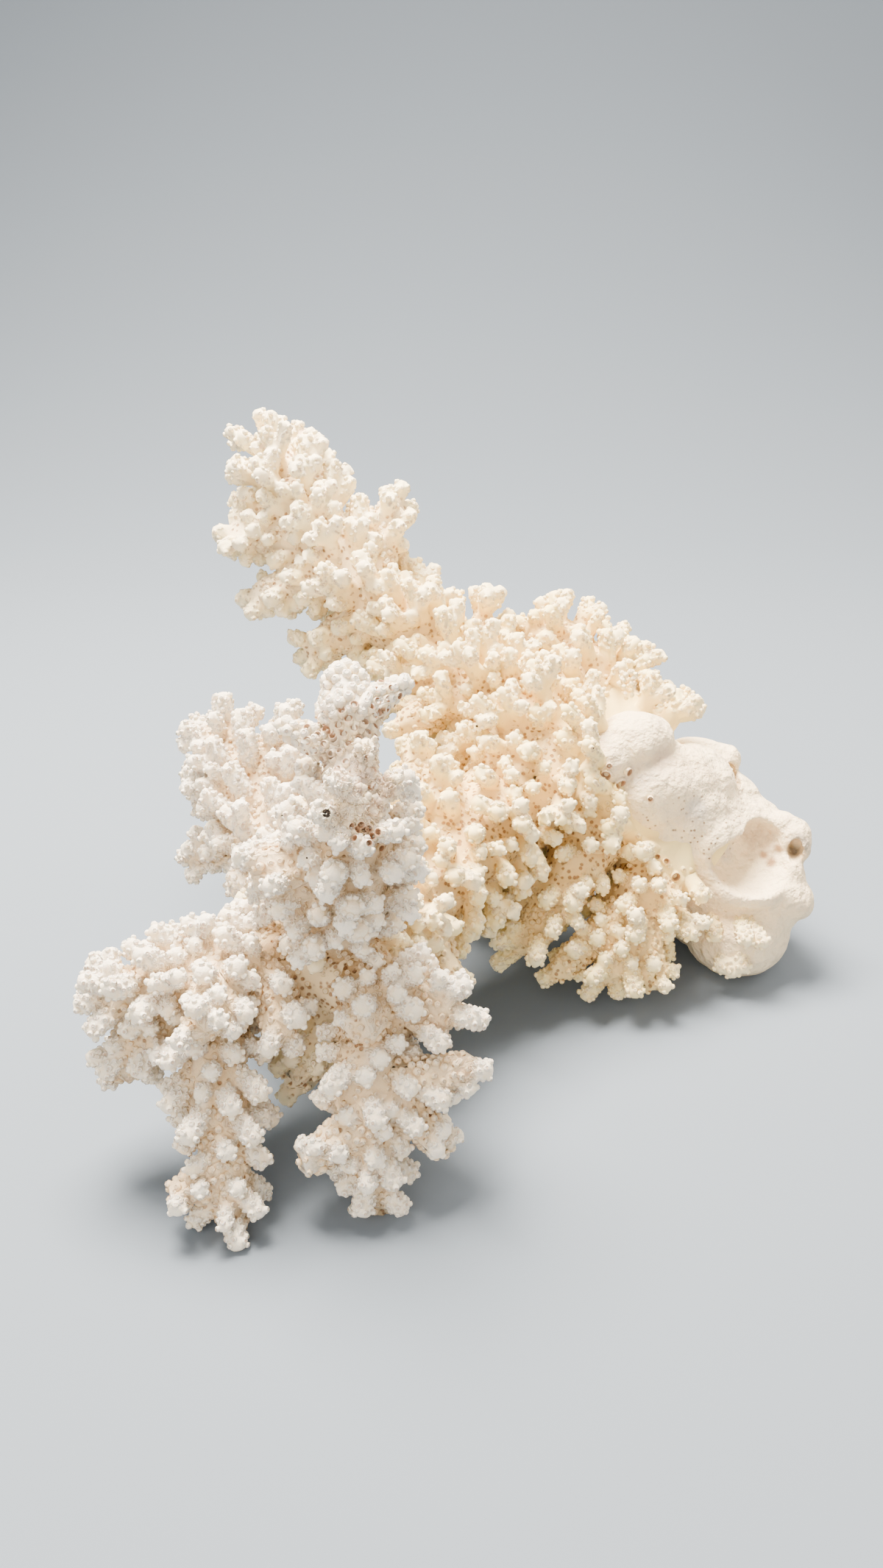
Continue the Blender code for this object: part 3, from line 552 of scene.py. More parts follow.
class Thicket:
    """The forks and the small fingers that fill the gaps between the main ones."""

    SHARES = (0.55, 0.7, 0.85, 1.0)
    MOST = 6000

    def __init__(self, colony: Colony) -> None:
        """Takes in the main fingers and the cores."""
        self.colony = colony
        self.count = 0
        self.samples = np.full((self.MOST, len(self.SHARES), 3), 1e3)
        self.radii = np.zeros(self.MOST)
        self.parents = np.full(self.MOST, -1)
        for finger in colony.fingers:
            self.take_in(finger, -1)
        self.limb_names = [core.limb.name for core in colony.cores.values() for _ in core.points]
        self.core_points = np.concatenate([np.array(core.points) for core in colony.cores.values()])
        self.core_radii = np.concatenate([np.array(core.radii) for core in colony.cores.values()])
        self.core_owner = np.array(self.limb_names)

    def take_in(self, finger: Finger, parent: int) -> None:
        """Keeps a finger's place, so that others stay clear of it."""
        self.samples[self.count] = [finger.at(share)[0] for share in self.SHARES]
        self.radii[self.count] = finger.radius
        self.parents[self.count] = parent
        self.count += 1

    def has_room(self, finger: Finger, parent: int, own: str) -> bool:
        """Whether a finger stands clear of the rest.

        Args:
            finger: the new finger.
            parent: the number of the finger that it forks from, or -1.
            own: the limb whose core it may start in.

        Returns:
            Whether there is room.
        """
        spots = np.array([finger.at(share)[0] for share in self.SHARES])
        if spots[:, 2].min() < finger.radius + 0.3 * MM:
            return False
        if any(np.linalg.norm(spots - np.array(place(*centre)), axis=1).min() < size * MM
               for centre, size in BALD):
            return False
        near = self.samples[:self.count]
        both = self.radii[:self.count] + finger.radius
        tips = np.linalg.norm(near[:, -1] - spots[-1], axis=1)
        if (tips < 0.98 * both).any():
            return False
        away = np.linalg.norm(near[:, :, None] - spots[None, None, 1:], axis=3).min(axis=(1, 2))
        close = away < 0.7 * both
        if parent >= 0:
            close[parent] = False
        if close.any():
            return False
        room = np.linalg.norm(self.core_points[:, None] - spots[None, 2:], axis=2).min(axis=1)
        return not (room - self.core_radii < 0.45 * finger.radius)[self.core_owner != own].any()

    def fork(self, habits: dict[str, Habit], dice: random.Random) -> None:
        """Lets the longer fingers fork where there is room."""
        for number, finger in enumerate(list(self.colony.fingers)):
            habit = habits[finger.node]
            if finger.reach < 6.5 * MM:
                continue
            turn = dice.uniform(0, 2 * math.pi)
            for k in range(habit.forks):
                back = finger.reach * dice.uniform(*habit.fork_from)
                angle = turn + k * 2 * math.pi / habit.forks + dice.uniform(-0.3, 0.3)
                lean = dice.uniform(1.0, 1.5)
                point, tangent = finger.at(1 - back / finger.length)
                first, second = side_directions(tangent)
                outwards = first * math.cos(angle) + second * math.sin(angle)
                start = (outwards * lean + tangent).normalized()
                after = (outwards * lean * 0.6 + tangent).normalized()
                half = max(back * dice.uniform(*habit.fork_reach), 6.0 * MM) * 0.5
                shoot = Finger([point, point + start * half, point + start * half + after * half],
                               finger.radius * dice.uniform(0.8, 0.95), finger.node, finger.limb, 2 * half)
                if self.has_room(shoot, number, finger.limb):
                    self.take_in(shoot, number)
                    self.colony.fingers.append(shoot)

    def fill(self, habits: dict[str, Habit], dice: random.Random) -> None:
        """Grows small fingers between the main ones."""
        for core in self.colony.cores.values():
            limb = core.limb
            habit = habits[limb.node]
            distance, turn = 3 * MM, dice.uniform(0, 2 * math.pi)
            while distance < core.length:
                point, tangent, core_radius = core.at(distance)
                first, second = side_directions(tangent)
                turn += GOLDEN_ANGLE
                here = distance
                distance += habit.filler_spacing ** 2 * MM * MM / (2 * math.pi * core_radius)
                outwards = first * math.cos(turn) + second * math.sin(turn)
                lean = math.radians(dice.uniform(15, 45))
                way = (outwards * math.cos(lean) + tangent * math.sin(lean)).normalized()
                mean = 0.5 * (limb.reach[0] + limb.reach[1]) * MM
                reach = mean * habit.filler_reach * dice.uniform(0.7, 1.25)
                girth = FINGER_RADIUS * MM * dice.uniform(0.72, 0.9)
                if limb.name.startswith("prong"):
                    continue
                root = point + outwards * core_radius * 0.5
                end = point + outwards * core_radius + way * reach
                shoot = Finger([root, root.lerp(end, 0.5), end], girth,
                               self.colony.node_of(limb, here), limb.name, reach)
                if not self.colony.is_inside(point + outwards * core_radius, limb.name) \
                        and self.has_room(shoot, -1, limb.name):
                    self.take_in(shoot, -1)
                    self.colony.fingers.append(shoot)


def deselect_all() -> None:
    """Leaves object mode if need be, and deselects everything."""
    if bpy.context.object and bpy.context.object.mode != "OBJECT":
        bpy.ops.object.mode_set(mode="OBJECT")
    bpy.ops.object.select_all(action="DESELECT")


def take_alone(thing: bpy.types.Object) -> None:
    """Makes an object the only selected one, and the active one."""
    deselect_all()
    thing.select_set(True)
    bpy.context.view_layer.objects.active = thing


def add_modifier(thing: bpy.types.Object, kind: str, **settings: object) -> None:
    """Adds a modifier with the settings given, and applies it."""
    take_alone(thing)
    modifier = thing.modifiers.new(kind.lower(), kind)
    for name, value in settings.items():
        setattr(modifier, name, value)
    bpy.ops.object.modifier_apply(modifier=modifier.name)


@dataclass(frozen=True)
class Shape:
    """A form that is modelled once: its points, in its own measure, and its triangles."""

    points: np.ndarray
    faces: np.ndarray

    @staticmethod
    def taken_from(thing: bpy.types.Object) -> "Shape":
        """Reads a modelled object as triangles, and deletes it.

        Args:
            thing: the object, placed at the origin.

        Returns:
            The form that it holds.
        """
        take_alone(thing)
        bpy.ops.object.transform_apply(location=True, rotation=True, scale=True)
        bpy.ops.object.mode_set(mode="EDIT")
        bpy.ops.mesh.select_all(action="SELECT")
        bpy.ops.mesh.quads_convert_to_tris()
        bpy.ops.mesh.normals_make_consistent(inside=False)
        bpy.ops.object.mode_set(mode="OBJECT")
        mesh = thing.data
        points = np.empty(len(mesh.vertices) * 3)
        mesh.vertices.foreach_get("co", points)
        faces = np.empty(len(mesh.polygons) * 3, np.int32)
        mesh.polygons.foreach_get("vertices", faces)
        bpy.data.objects.remove(thing, do_unlink=True)
        bpy.data.meshes.remove(mesh)
        return Shape(points.reshape(-1, 3), faces.reshape(-1, 3))

    def copies(self, places: np.ndarray, axes: np.ndarray, sizes: np.ndarray) -> "Shape":
        """Many copies of the form, each turned so that its +Z runs along an axis.

        Args:
            places: where each copy's own origin goes.
            axes: the direction of each copy's +Z, of length 1.
            sizes: the scale of each copy across and along its axis, in two columns.

        Returns:
            One form that holds all the copies.
        """
        helper = np.where(np.abs(axes[:, 2:]) < 0.9, [[0.0, 0.0, 1.0]], [[1.0, 0.0, 0.0]])
        first = np.cross(axes, helper)
        first /= np.linalg.norm(first, axis=1, keepdims=True)
        second = np.cross(axes, first)
        scaled = self.points[None] * np.stack([sizes[:, 0], sizes[:, 0], sizes[:, 1]], axis=1)[:, None]
        points = (places[:, None] + scaled[..., :1] * first[:, None] + scaled[..., 1:2] * second[:, None]
                  + scaled[..., 2:] * axes[:, None])
        shift = np.arange(len(places), dtype=np.int32)[:, None, None] * len(self.points)
        return Shape(points.reshape(-1, 3), (self.faces[None] + shift).reshape(-1, 3))

    def bent(self, points: np.ndarray, radii: np.ndarray) -> "Shape":
        """The form laid along a path: its Z from 0 to 1 runs from the first to the last point.

        Args:
            points: the path.
            radii: the scale across the path, at each of its points.

        Returns:
            The bent form.
        """
        share = np.clip(self.points[:, 2], 0, 1) * (len(points) - 1)
        steps = np.arange(len(points))
        middle = np.stack([np.interp(share, steps, points[:, k]) for k in range(3)], axis=1)
        ahead = np.gradient(points, axis=0)
        ahead /= np.linalg.norm(ahead, axis=1, keepdims=True)
        tangent = np.stack([np.interp(share, steps, ahead[:, k]) for k in range(3)], axis=1)
        tangent /= np.linalg.norm(tangent, axis=1, keepdims=True)
        helper = np.eye(3)[np.abs(ahead.mean(axis=0)).argmin()]
        first = np.cross(tangent, helper)
        first /= np.linalg.norm(first, axis=1, keepdims=True)
        second = np.cross(tangent, first)
        radius = np.interp(share, steps, radii)[:, None]
        return Shape(
            middle + (first * self.points[:, :1] + second * self.points[:, 1:2]) * radius, self.faces)


def joined(shapes: Iterable[Shape]) -> Shape:
    """Several forms as one."""
    kept = [shape for shape in shapes if len(shape.points)]
    starts = np.cumsum([0, *(len(shape.points) for shape in kept)])
    return Shape(
        np.concatenate([shape.points for shape in kept]),
        np.concatenate([shape.faces + start for shape, start in zip(kept, starts)]))


def object_of(name: str, shape: Shape) -> bpy.types.Object:
    """An object that holds a form in its mesh.

    Args:
        name: the object's name.
        shape: the form, in metres.

    Returns:
        The object, at the origin.
    """
    mesh = bpy.data.meshes.new(name)
    mesh.from_pydata(shape.points, [], shape.faces)
    thing = bpy.data.objects.new(name, mesh)
    bpy.context.scene.collection.objects.link(thing)
    return thing


@dataclass(frozen=True)
class Lump:
    """An ellipsoid: its middle and half sizes in millimetres, and its tilt about X, Y and Z in degrees."""

    at: Point
    size: Point
    tilt: Point = (0.0, 0.0, 0.0)


class Kit:
    """The small forms that repeat all over the coral, each modelled once."""

    def __init__(self) -> None:
        """Models them all."""
        self.sleeve = self.model_column(sides=16, rings=[1.0] * 97)
        self.finger = self.model_column(
            sides=12, rings=[0.95, 0.92, 0.92, 0.94, 0.97, 1.0, 1.03, 1.05, 1.05, 1.0, 0.85, 0.55])
        self.knob = self.model_knob(5, ((1.0, 0.35),))
        self.fine_knob = self.model_knob(5, ((0.98, 0.12), (0.68, 0.74)))
        self.cup = self.model_cup()
        self.bristle = self.model_column(sides=4, rings=[1.0, 0.85, 0.6, 0.2])
        self.lump = self.model_lump()

    @staticmethod
    def model_column(sides: int, rings: list[float]) -> Shape:
        """A closed round column from Z 0 to 1, drawn up ring by ring.

        Args:
            sides: how many sides it has.
            rings: its radius at each ring, evenly spaced.

        Returns:
            The column.
        """
        deselect_all()
        step = 1 / (len(rings) - 1)
        bpy.ops.mesh.primitive_circle_add(vertices=sides, radius=rings[0], fill_type="NGON")
        bpy.ops.object.mode_set(mode="EDIT")
        bpy.ops.mesh.select_all(action="SELECT")
        for k, (before, after) in enumerate(zip(rings, rings[1:])):
            bpy.ops.mesh.extrude_region_move(TRANSFORM_OT_translate={"value": (0, 0, step)})
            ratio = after / before
            if ratio != 1:
                bpy.ops.transform.resize(value=(ratio, ratio, 1), center_override=(0, 0, (k + 1) * step))
        return Shape.taken_from(bpy.context.object)

    @staticmethod
    def model_knob(sides: int, rings: tuple[tuple[float, float], ...]) -> Shape:
        """The round knob that holds a cup: a dome with a closed foot, whose ball has its middle at Z 0.

        Args:
            sides: how many sides it has.
            rings: the radius and the height of each ring above the foot.

        Returns:
            The knob.
        """
        deselect_all()
        radius, height = 0.8, -0.65
        bpy.ops.mesh.primitive_circle_add(vertices=sides, radius=radius, location=(0, 0, height), fill_type="NGON")
        bpy.ops.object.mode_set(mode="EDIT")
        bpy.ops.mesh.select_all(action="SELECT")
        for after, level in rings:
            bpy.ops.mesh.extrude_region_move(TRANSFORM_OT_translate={"value": (0, 0, level - height)})
            ratio = after / radius
            bpy.ops.transform.resize(value=(ratio, ratio, 1), center_override=(0, 0, level))
            bpy.ops.transform.rotate(value=math.pi / sides, orient_axis="Z", center_override=(0, 0, level))
            radius, height = after, level
        bpy.ops.mesh.poke()
        bpy.ops.mesh.select_less()
        bpy.ops.transform.translate(value=(0, 0, 1.04 - height))
        return Shape.taken_from(bpy.context.object)

    @staticmethod
    def model_cup() -> Shape:
        """An open cup with a round lip: its foot is at Z 0, its lip at Z 1, and its outer radius 1."""
        deselect_all()
        bpy.ops.mesh.primitive_circle_add(vertices=10, radius=1.05, fill_type="NGON")
        cup = bpy.context.object
        bpy.ops.object.mode_set(mode="EDIT")
        bpy.ops.mesh.select_all(action="SELECT")
        for rise, ratio in ((0.8, 0.95), (0.17, 0.93), (0.03, 0.84), (-0.04, 0.82), (-0.2, 0.86), (-0.5, 0.7)):
            bpy.ops.mesh.extrude_region_move(TRANSFORM_OT_translate={"value": (0, 0, rise)})
            bpy.ops.transform.resize(value=(ratio, ratio, 1), center_override=(0, 0, 0))
        return Shape.taken_from(cup)

    @staticmethod
    def model_lump() -> Shape:
        """A ball of radius 1, fine enough to be stretched into a lump of worn skin."""
        deselect_all()
        bpy.ops.mesh.primitive_ico_sphere_add(subdivisions=4, radius=1)
        return Shape.taken_from(bpy.context.object)

    def stretched(self, lump: Lump) -> Shape:
        """The form of a lump."""
        turn = np.array(Euler([math.radians(angle) for angle in lump.tilt]).to_matrix())
        return Shape(self.lump.points * np.array(lump.size) @ turn.T * MM + np.array(place(*lump.at)),
                     self.lump.faces)


@dataclass
class Knob:
    """A knob and the cup on it: the ball's middle, the way it points, and its radius, in metres."""

    middle: Vector
    axis: Vector
    radius: float

    @property
    def tip(self) -> Vector:
        """Where the cup opens."""
        return self.middle + self.axis * self.radius * 1.05


APEX = 0.27
CUP_LEAN = 0.55
THIN_CORE = 8.5
THIN_PATCH = 9.0
THIN_GIRTHS = (1.35, 1.7)


def lip_fingers() -> Iterator[Finger]:
    """The short fingers under the holdfast's lip."""
    for root, tip in LIP_FINGERS:
        start, end = place(*root), place(*tip)
        yield Finger([start, start.lerp(end, 0.5), end], 0.95 * FINGER_RADIUS * MM, "lip_fingers", "holdfast",
                     (end - start).length * 0.8)


def knobs_on(finger: Finger, habit: Habit, dice: random.Random) -> Iterator[Knob]:
    """Sets knobs over the round tip of a finger and, in a spiral, down its sides.

    Args:
        finger: the finger.
        habit: how closely and how far down the knobs stand.
        dice: where the chances come from.

    Yields:
        The knobs.
    """
    size = habit.knob * FINGER_RADIUS * MM * (0.5 + 0.5 * finger.radius / (FINGER_RADIUS * MM))
    ring = habit.ring * finger.radius
    end, along = finger.at(1.0)
    heart = end + along * (APEX * finger.radius - size - ring * 0.8)
    first, second = side_directions(along)
    yield Knob(heart + along * ring, along, size * dice.uniform(1.0, 1.15))
    turn = dice.uniform(0, 2 * math.pi)
    area = habit.patch * MM * MM
    on_cap = max(4, round(2 * math.pi * ring * ring / area))
    for k in range(1, on_cap):
        tilt = math.acos(max(0.0, 1 - (k + 0.4) / on_cap))
        angle = turn + k * GOLDEN_ANGLE + dice.uniform(-0.15, 0.15)
        outwards = first * math.cos(angle) + second * math.sin(angle)
        way = along * math.cos(tilt) + outwards * math.sin(tilt)
        girth = size * dice.uniform(0.85, 1.12)
        yield Knob(heart + way * ring, (way + along * 0.15).normalized(), girth)
    length = finger.length
    depth = 0.0
    k = on_cap
    while depth < finger.reach * habit.fades_to:
        depth += area / (2 * math.pi * ring) * dice.uniform(0.8, 1.2)
        fade = (depth / finger.reach - habit.covered) / max(1e-6, habit.fades_to - habit.covered)
        k += 1
        chance, wobble, girth = dice.random(), dice.uniform(-0.3, 0.3), dice.uniform(0.8, 1.1)
        if chance < fade:
            continue
        back = ((end - heart).length + depth) / length
        if back > 1:
            return
        point, tangent = finger.at(1.0 - back)
        first, second = side_directions(tangent)
        angle = turn + k * GOLDEN_ANGLE + wobble
        outwards = first * math.cos(angle) + second * math.sin(angle)
        way = (outwards + tangent * CUP_LEAN).normalized()
        sink = 1 - 0.08 * min(max(fade, 0.0), 1.0)
        yield Knob(point + outwards * ring * sink, way, size * girth * (1 - 0.2 * max(fade, 0.0)))


def knobs_on_skin(core: Core, start: float, end: float, patch: float, dice: random.Random,
                  girths: tuple[float, float] = (1.0, 1.5)) -> Iterator[Knob]:
    """Low knobs on the bare skin of a core, in a spiral, and larger ones where the core is thin.

    Args:
        core: the core.
        start: how far along it the spiral starts, in metres.
        end: how far along it ends.
        patch: the skin that each knob has to itself, in square millimetres.
        dice: where the chances come from.
        girths: the least and the largest radius of a knob on a thick core, in millimetres.

    Yields:
        The knobs.
    """
    distance, turn = start, dice.uniform(0, 2 * math.pi)
    while distance < end:
        point, tangent, radius = core.at(distance)
        first, second = side_directions(tangent)
        angle = turn + dice.uniform(-0.2, 0.2)
        outwards = first * math.cos(angle) + second * math.sin(angle)
        is_thin = radius < THIN_CORE * MM and not core.limb.name.startswith("prong")
        girth = dice.uniform(*(THIN_GIRTHS if is_thin else girths)) * MM
        yield Knob(point + outwards * (radius - girth * 0.3), (outwards + tangent * 0.6).normalized(), girth)
        turn += GOLDEN_ANGLE
        area = (min(patch, THIN_PATCH) if is_thin else patch) * MM * MM
        distance += area / (2 * math.pi * radius) * dice.uniform(0.8, 1.2)
    if end < core.length:
        return
    point, tangent, radius = core.at(core.length)
    first, second = side_directions(tangent)
    count = max(3, round(2 * math.pi * radius * radius / (patch * MM * MM)))
    for k in range(count):
        tilt = math.acos(1 - (k + 0.4) / count)
        angle = k * GOLDEN_ANGLE
        way = tangent * math.cos(tilt) + (first * math.cos(angle) + second * math.sin(angle)) * math.sin(tilt)
        yield Knob(point + way * (radius - 0.4 * MM), way, dice.uniform(*girths) * MM)


def copies_of_knobs(form: Shape, knobs: list[Knob]) -> Shape:
    """All the knobs of a piece as one form."""
    return form.copies(
        np.array([knob.middle for knob in knobs]), np.array([knob.axis for knob in knobs]),
        np.array([(knob.radius, knob.radius) for knob in knobs]))


def tapered(points: list[Vector], radii: list[float], start: float, end: float) -> tuple[list, list]:
    """Points and radii of a tube whose ends are drawn in, or domed where they aren't.

    Args:
        points: the tube's centre line.
        radii: its radius at each point.
        start: how much thinner the first end is, in metres.
        end: how much thinner the last end is, in metres. An end drawn in by 0 is domed.

    Returns:
        The points and radii.
    """
    radii = list(radii)
    count = len(radii)
    for k in range(count):
        reach = 3.0
        radii[k] -= start * max(0.0, 1 - k / reach) + end * max(0.0, 1 - (count - 1 - k) / reach)
    if end:
        return points, radii
    tangent = (points[-1] - points[-2]).normalized()
    radius, last = radii[-1], points[-1]
    for k in range(1, 6):
        angle = 0.5 * math.pi * k / 5.4
        points = [*points, last + tangent * radius * math.sin(angle)]
        radii.append(radius * math.cos(angle))
    return points, radii


def keep_largest_shell(thing: bpy.types.Object) -> None:
    """Deletes every loose shell of an object but the one with the most points."""
    take_alone(thing)
    bpy.ops.mesh.separate(type="LOOSE")
    shells = sorted(bpy.context.selected_objects, key=lambda shell: len(shell.data.vertices))
    largest = shells.pop()
    if largest is not thing:
        thing.data, largest.data = largest.data, thing.data
        shells.append(largest)
        shells.remove(thing)
    for shell in shells:
        bpy.data.objects.remove(shell, do_unlink=True)


def cut_at_floor(thing: bpy.types.Object) -> None:
    """Cuts an object off flat where it rests on the floor, and closes the cut."""
    if points_of(thing)[:, 2].min() >= 0:
        return
    take_alone(thing)
    bpy.ops.object.mode_set(mode="EDIT")
    bpy.ops.mesh.select_all(action="SELECT")
    bpy.ops.mesh.bisect(plane_co=(0, 0, 0), plane_no=(0, 0, 1), use_fill=True, clear_inner=True,
                        threshold=1e-6)
    bpy.ops.object.mode_set(mode="OBJECT")


def points_of(thing: bpy.types.Object) -> np.ndarray:
    """The places of an object's points, one row each."""
    points = np.empty(len(thing.data.vertices) * 3, np.float32)
    thing.data.vertices.foreach_get("co", points)
    return points.reshape(-1, 3).astype(np.float64)


def put_points(thing: bpy.types.Object, points: np.ndarray) -> None:
    """Moves an object's points."""
    thing.data.vertices.foreach_set("co", points.astype(np.float32).ravel())
    thing.data.update()


def normals_of(thing: bpy.types.Object) -> np.ndarray:
    """The way an object's skin faces at each of its points."""
    normals = np.empty(len(thing.data.vertices) * 3, np.float32)
    thing.data.vertices.foreach_get("normal", normals)
    return normals.reshape(-1, 3).astype(np.float64)


def set_attribute(thing: bpy.types.Object, name: str, values: np.ndarray) -> None:
    """Stores one number, or one vector, for each point of an object."""
    if values.ndim == 1:
        layer = thing.data.attributes.new(name, "FLOAT", "POINT")
        layer.data.foreach_set("value", values.astype(np.float32))
    else:
        layer = thing.data.attributes.new(name, "FLOAT_VECTOR", "POINT")
        layer.data.foreach_set("vector", values.astype(np.float32).ravel())


def nearest_of(points: np.ndarray, targets: np.ndarray) -> np.ndarray:
    """For each point, which of the targets is nearest.

    Args:
        points: the points.
        targets: the places to choose from.

    Returns:
        The index of the nearest target, for each point.
    """
    tree = KDTree(len(targets))
    for i, target in enumerate(targets.tolist()):
        tree.insert(target, i)
    tree.balance()
    find = tree.find
    return np.fromiter((find(point)[1] for point in points.tolist()), np.int64, len(points))


def soft_step(values: np.ndarray, low: float, high: float) -> np.ndarray:
    """A soft step: 0 at low and 1 at high."""
    share = np.clip((values - low) / (high - low), 0, 1)
    return share * share * (3 - 2 * share)


@dataclass
class Piece:
    """A piece of the scene that takes the place of one solid."""

    node: str
    slot: str
    solid: str = field(default="", kw_only=True)
    skin: bpy.types.Object | None = field(default=None, kw_only=True)
    extras: list[Shape] = field(default_factory=list, kw_only=True)
    cups: list[tuple[Vector, Vector, float, float]] = field(default_factory=list, kw_only=True)

    def add_cups(self, kit: Kit, cups: list[tuple[Vector, Vector, float, float]]) -> None:
        """Keeps open cups for the piece: each with its foot, its axis, its radius and its height."""
        self.cups.extend(cups)
        if cups:
            self.extras.append(kit.cup.copies(
                np.array([cup[0] for cup in cups]), np.array([cup[1] for cup in cups]),
                np.array([cup[2:] for cup in cups])))

    def in_cups(self, points: np.ndarray) -> np.ndarray:
        """Which points lie inside the mouth of an open cup."""
        if not self.cups:
            return np.zeros(len(points), bool)
        which = nearest_of(points, np.array([cup[0] + cup[1] * cup[3] for cup in self.cups]))
        axes = np.array([cup[1] for cup in self.cups])[which]
        offset = points - np.array([cup[0] for cup in self.cups])[which]
        flat = offset - axes * np.sum(offset * axes, axis=1, keepdims=True)
        return np.linalg.norm(flat, axis=1) < 0.8 * np.array([cup[2] for cup in self.cups])[which]

    def join_shape(self, shape: Shape) -> None:
        """Joins a form to the skin."""
        added = object_of("added", shape)
        added.data.shade_smooth()
        take_alone(added)
        self.skin.select_set(True)
        bpy.context.view_layer.objects.active = self.skin
        bpy.ops.object.join()

    def join_extras(self) -> int:
        """Joins the open forms to the skin, and returns how many points the skin alone has."""
        count = len(self.skin.data.vertices)
        if self.extras:
            self.join_shape(joined(self.extras))
        # Points in the mouths of the open cups are kept under hollow, which the finishes darken as painted shade.
        painted_shade_in_mouth = self.in_cups(points_of(self.skin))
        painted_shade_in_mouth[:count] = False
        set_attribute(self.skin, "hollow", painted_shade_in_mouth.astype(float))
        return count

    def dress(self, material: bpy.types.Material) -> None:
        """Gives the piece its finish, and puts it in the place of its solid."""
        self.skin.data.materials.clear()
        self.skin.data.materials.append(material)
        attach(self.skin, "root")
        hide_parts(self.solid or self.node)


@dataclass
class Lobe(Piece):
    """One lobe: its cores, fingers and knobs melted into one skin."""

    growth: Growth
    triangles: int
    voxel: float = 1.0
    is_fine: bool = False
    skin_patch: float = 30.0
    white_above: float = 1000.0
    seed: int = 1
    knobs: list[Knob] = field(default_factory=list)

    def build(self, colony: Colony, kit: Kit) -> None:
        """Models the lobe's skin.

        Args:
            colony: where its limbs and fingers are.
            kit: the forms that repeat.
        """
        dice = random.Random(self.seed)
        habit = self.growth.value
        forms = [*self.limbs(colony, kit)]
        fingers = [finger for finger in colony.fingers if finger.node == self.node]
        for finger in fingers:
            forms.append(self.finger_form(finger, habit, kit))
            self.knobs.extend(knobs_on(finger, habit, dice))
        on_fingers = len(self.knobs)
        for core in colony.cores.values():
            if core.limb.node == self.node and core.limb.name.startswith("prong"):
                rough = core.length * (0.7 if core.limb.name == "prong" else 0.35)
                self.knobs.extend(knobs_on_skin(core, rough, core.length, 10.0, dice, (1.2, 2.4)))
            elif core.limb.node == self.node:
                self.knobs.extend(knobs_on_skin(core, core.cut_at, core.length, self.skin_patch, dice))
            elif core.limb.parent and colony.bearer(core.limb) == self.node:
                self.knobs.extend(knobs_on_skin(core, 0.0, core.cut_at, self.skin_patch, dice))
        self.skin = object_of(f"{self.node}_skin", joined(forms))
        self.melt(colony)
        self.knobs[on_fingers:] = [knob for knob in self.knobs[on_fingers:] if not is_worn(knob.tip)]
        self.drop_hidden_knobs(colony, fingers)
        self.join_shape(copies_of_knobs(kit.fine_knob if self.is_fine else kit.knob, self.knobs))

    def drop_hidden_knobs(self, colony: Colony, fingers: list[Finger]) -> None:
        """Leaves out the knobs that lie inside a core or another finger, or below the floor.

        Args:
            colony: where the cores are.
            fingers: the lobe's fingers.
        """
        tips = np.array([knob.tip for knob in self.knobs])
        room = self.rise_of(tips, colony)
        for finger in fingers:
            for share in np.linspace(0.1, 1.0, 8):
                away = np.linalg.norm(tips - np.array(finger.at(share)[0]), axis=1)
                np.minimum(room, away - self.growth.value.body * finger.radius, out=room)
        is_seen = (room > 0.1 * MM) & (tips[:, 2] > 0.6 * MM)
        self.knobs = [knob for knob, seen in zip(self.knobs, is_seen) if seen]

    def limbs(self, colony: Colony, kit: Kit) -> Iterator[Shape]:
        """The cores of the lobe, and the stubs of the lobes that it bears."""
        for core in colony.cores.values():
            if core.limb.node == self.node:
                start = max(0.0, core.cut_at - 5 * MM) if core.limb.parent else 0.0
                ends = tapered(*core.stretch(start, core.length), 1.5 * MM if core.limb.parent else 0.0, 0.0)
            elif core.limb.parent and colony.bearer(core.limb) == self.node:
                ends = tapered(*core.stretch(0.0, core.cut_at + 4 * MM), 0.0, 2 * MM)
            else:
                continue
            yield kit.sleeve.bent(np.array(ends[0]), np.array(ends[1]))

    @staticmethod
    def finger_form(finger: Finger, habit: Habit, kit: Kit) -> Shape:
        """The smooth body of a finger."""
        shares = np.linspace(0, 1, 13)
        path = np.array([finger.at(share)[0] for share in shares])
        return kit.finger.bent(path, np.full(13, habit.body * finger.radius))

    def rise_of(self, points: np.ndarray, colony: Colony) -> np.ndarray:
        """How far points stand out from the lobe's cores, in metres."""
        rise = np.full(len(points), np.inf, np.float32)
        points = points.astype(np.float32)
        for core in colony.cores.values():
            if core.limb.node == self.node or (core.limb.parent and colony.bearer(core.limb) == self.node):
                for centre, radius in zip(core.points, core.radii):
                    away = points - np.array(centre, np.float32)
                    np.minimum(rise, np.sqrt(np.einsum("ij,ij->i", away, away)) - radius, out=rise)
        return rise.astype(np.float64)

    def melt(self, colony: Colony) -> None:
        """Melts the overlapping forms into one skin, and thins it, most of all deep down."""
        voxel = self.voxel * 1.0 * MM
        add_modifier(self.skin, "REMESH", mode="VOXEL", voxel_size=voxel)
        keep_largest_shell(self.skin)
        add_modifier(self.skin, "SMOOTH", factor=0.35, iterations=1)
        faces = 2 * len(self.skin.data.polygons)
        if faces > self.triangles:
            group = self.skin.vertex_groups.new(name="thin")
            bare = 1 - soft_step(self.rise_of(points_of(self.skin), colony), 0.2 * MM, 1.8 * MM)
            bands = np.round(bare * 4).astype(int)
            for band in range(5):
                group.add(np.flatnonzero(bands == band).tolist(), 0.4 + 0.15 * band, "REPLACE")
            add_modifier(self.skin, "DECIMATE", ratio=self.triangles / faces, vertex_group="thin",
                         vertex_group_factor=1.0, use_collapse_triangulate=True)
            self.skin.vertex_groups.clear()
        cut_at_floor(self.skin)
        self.skin.data.shade_smooth()

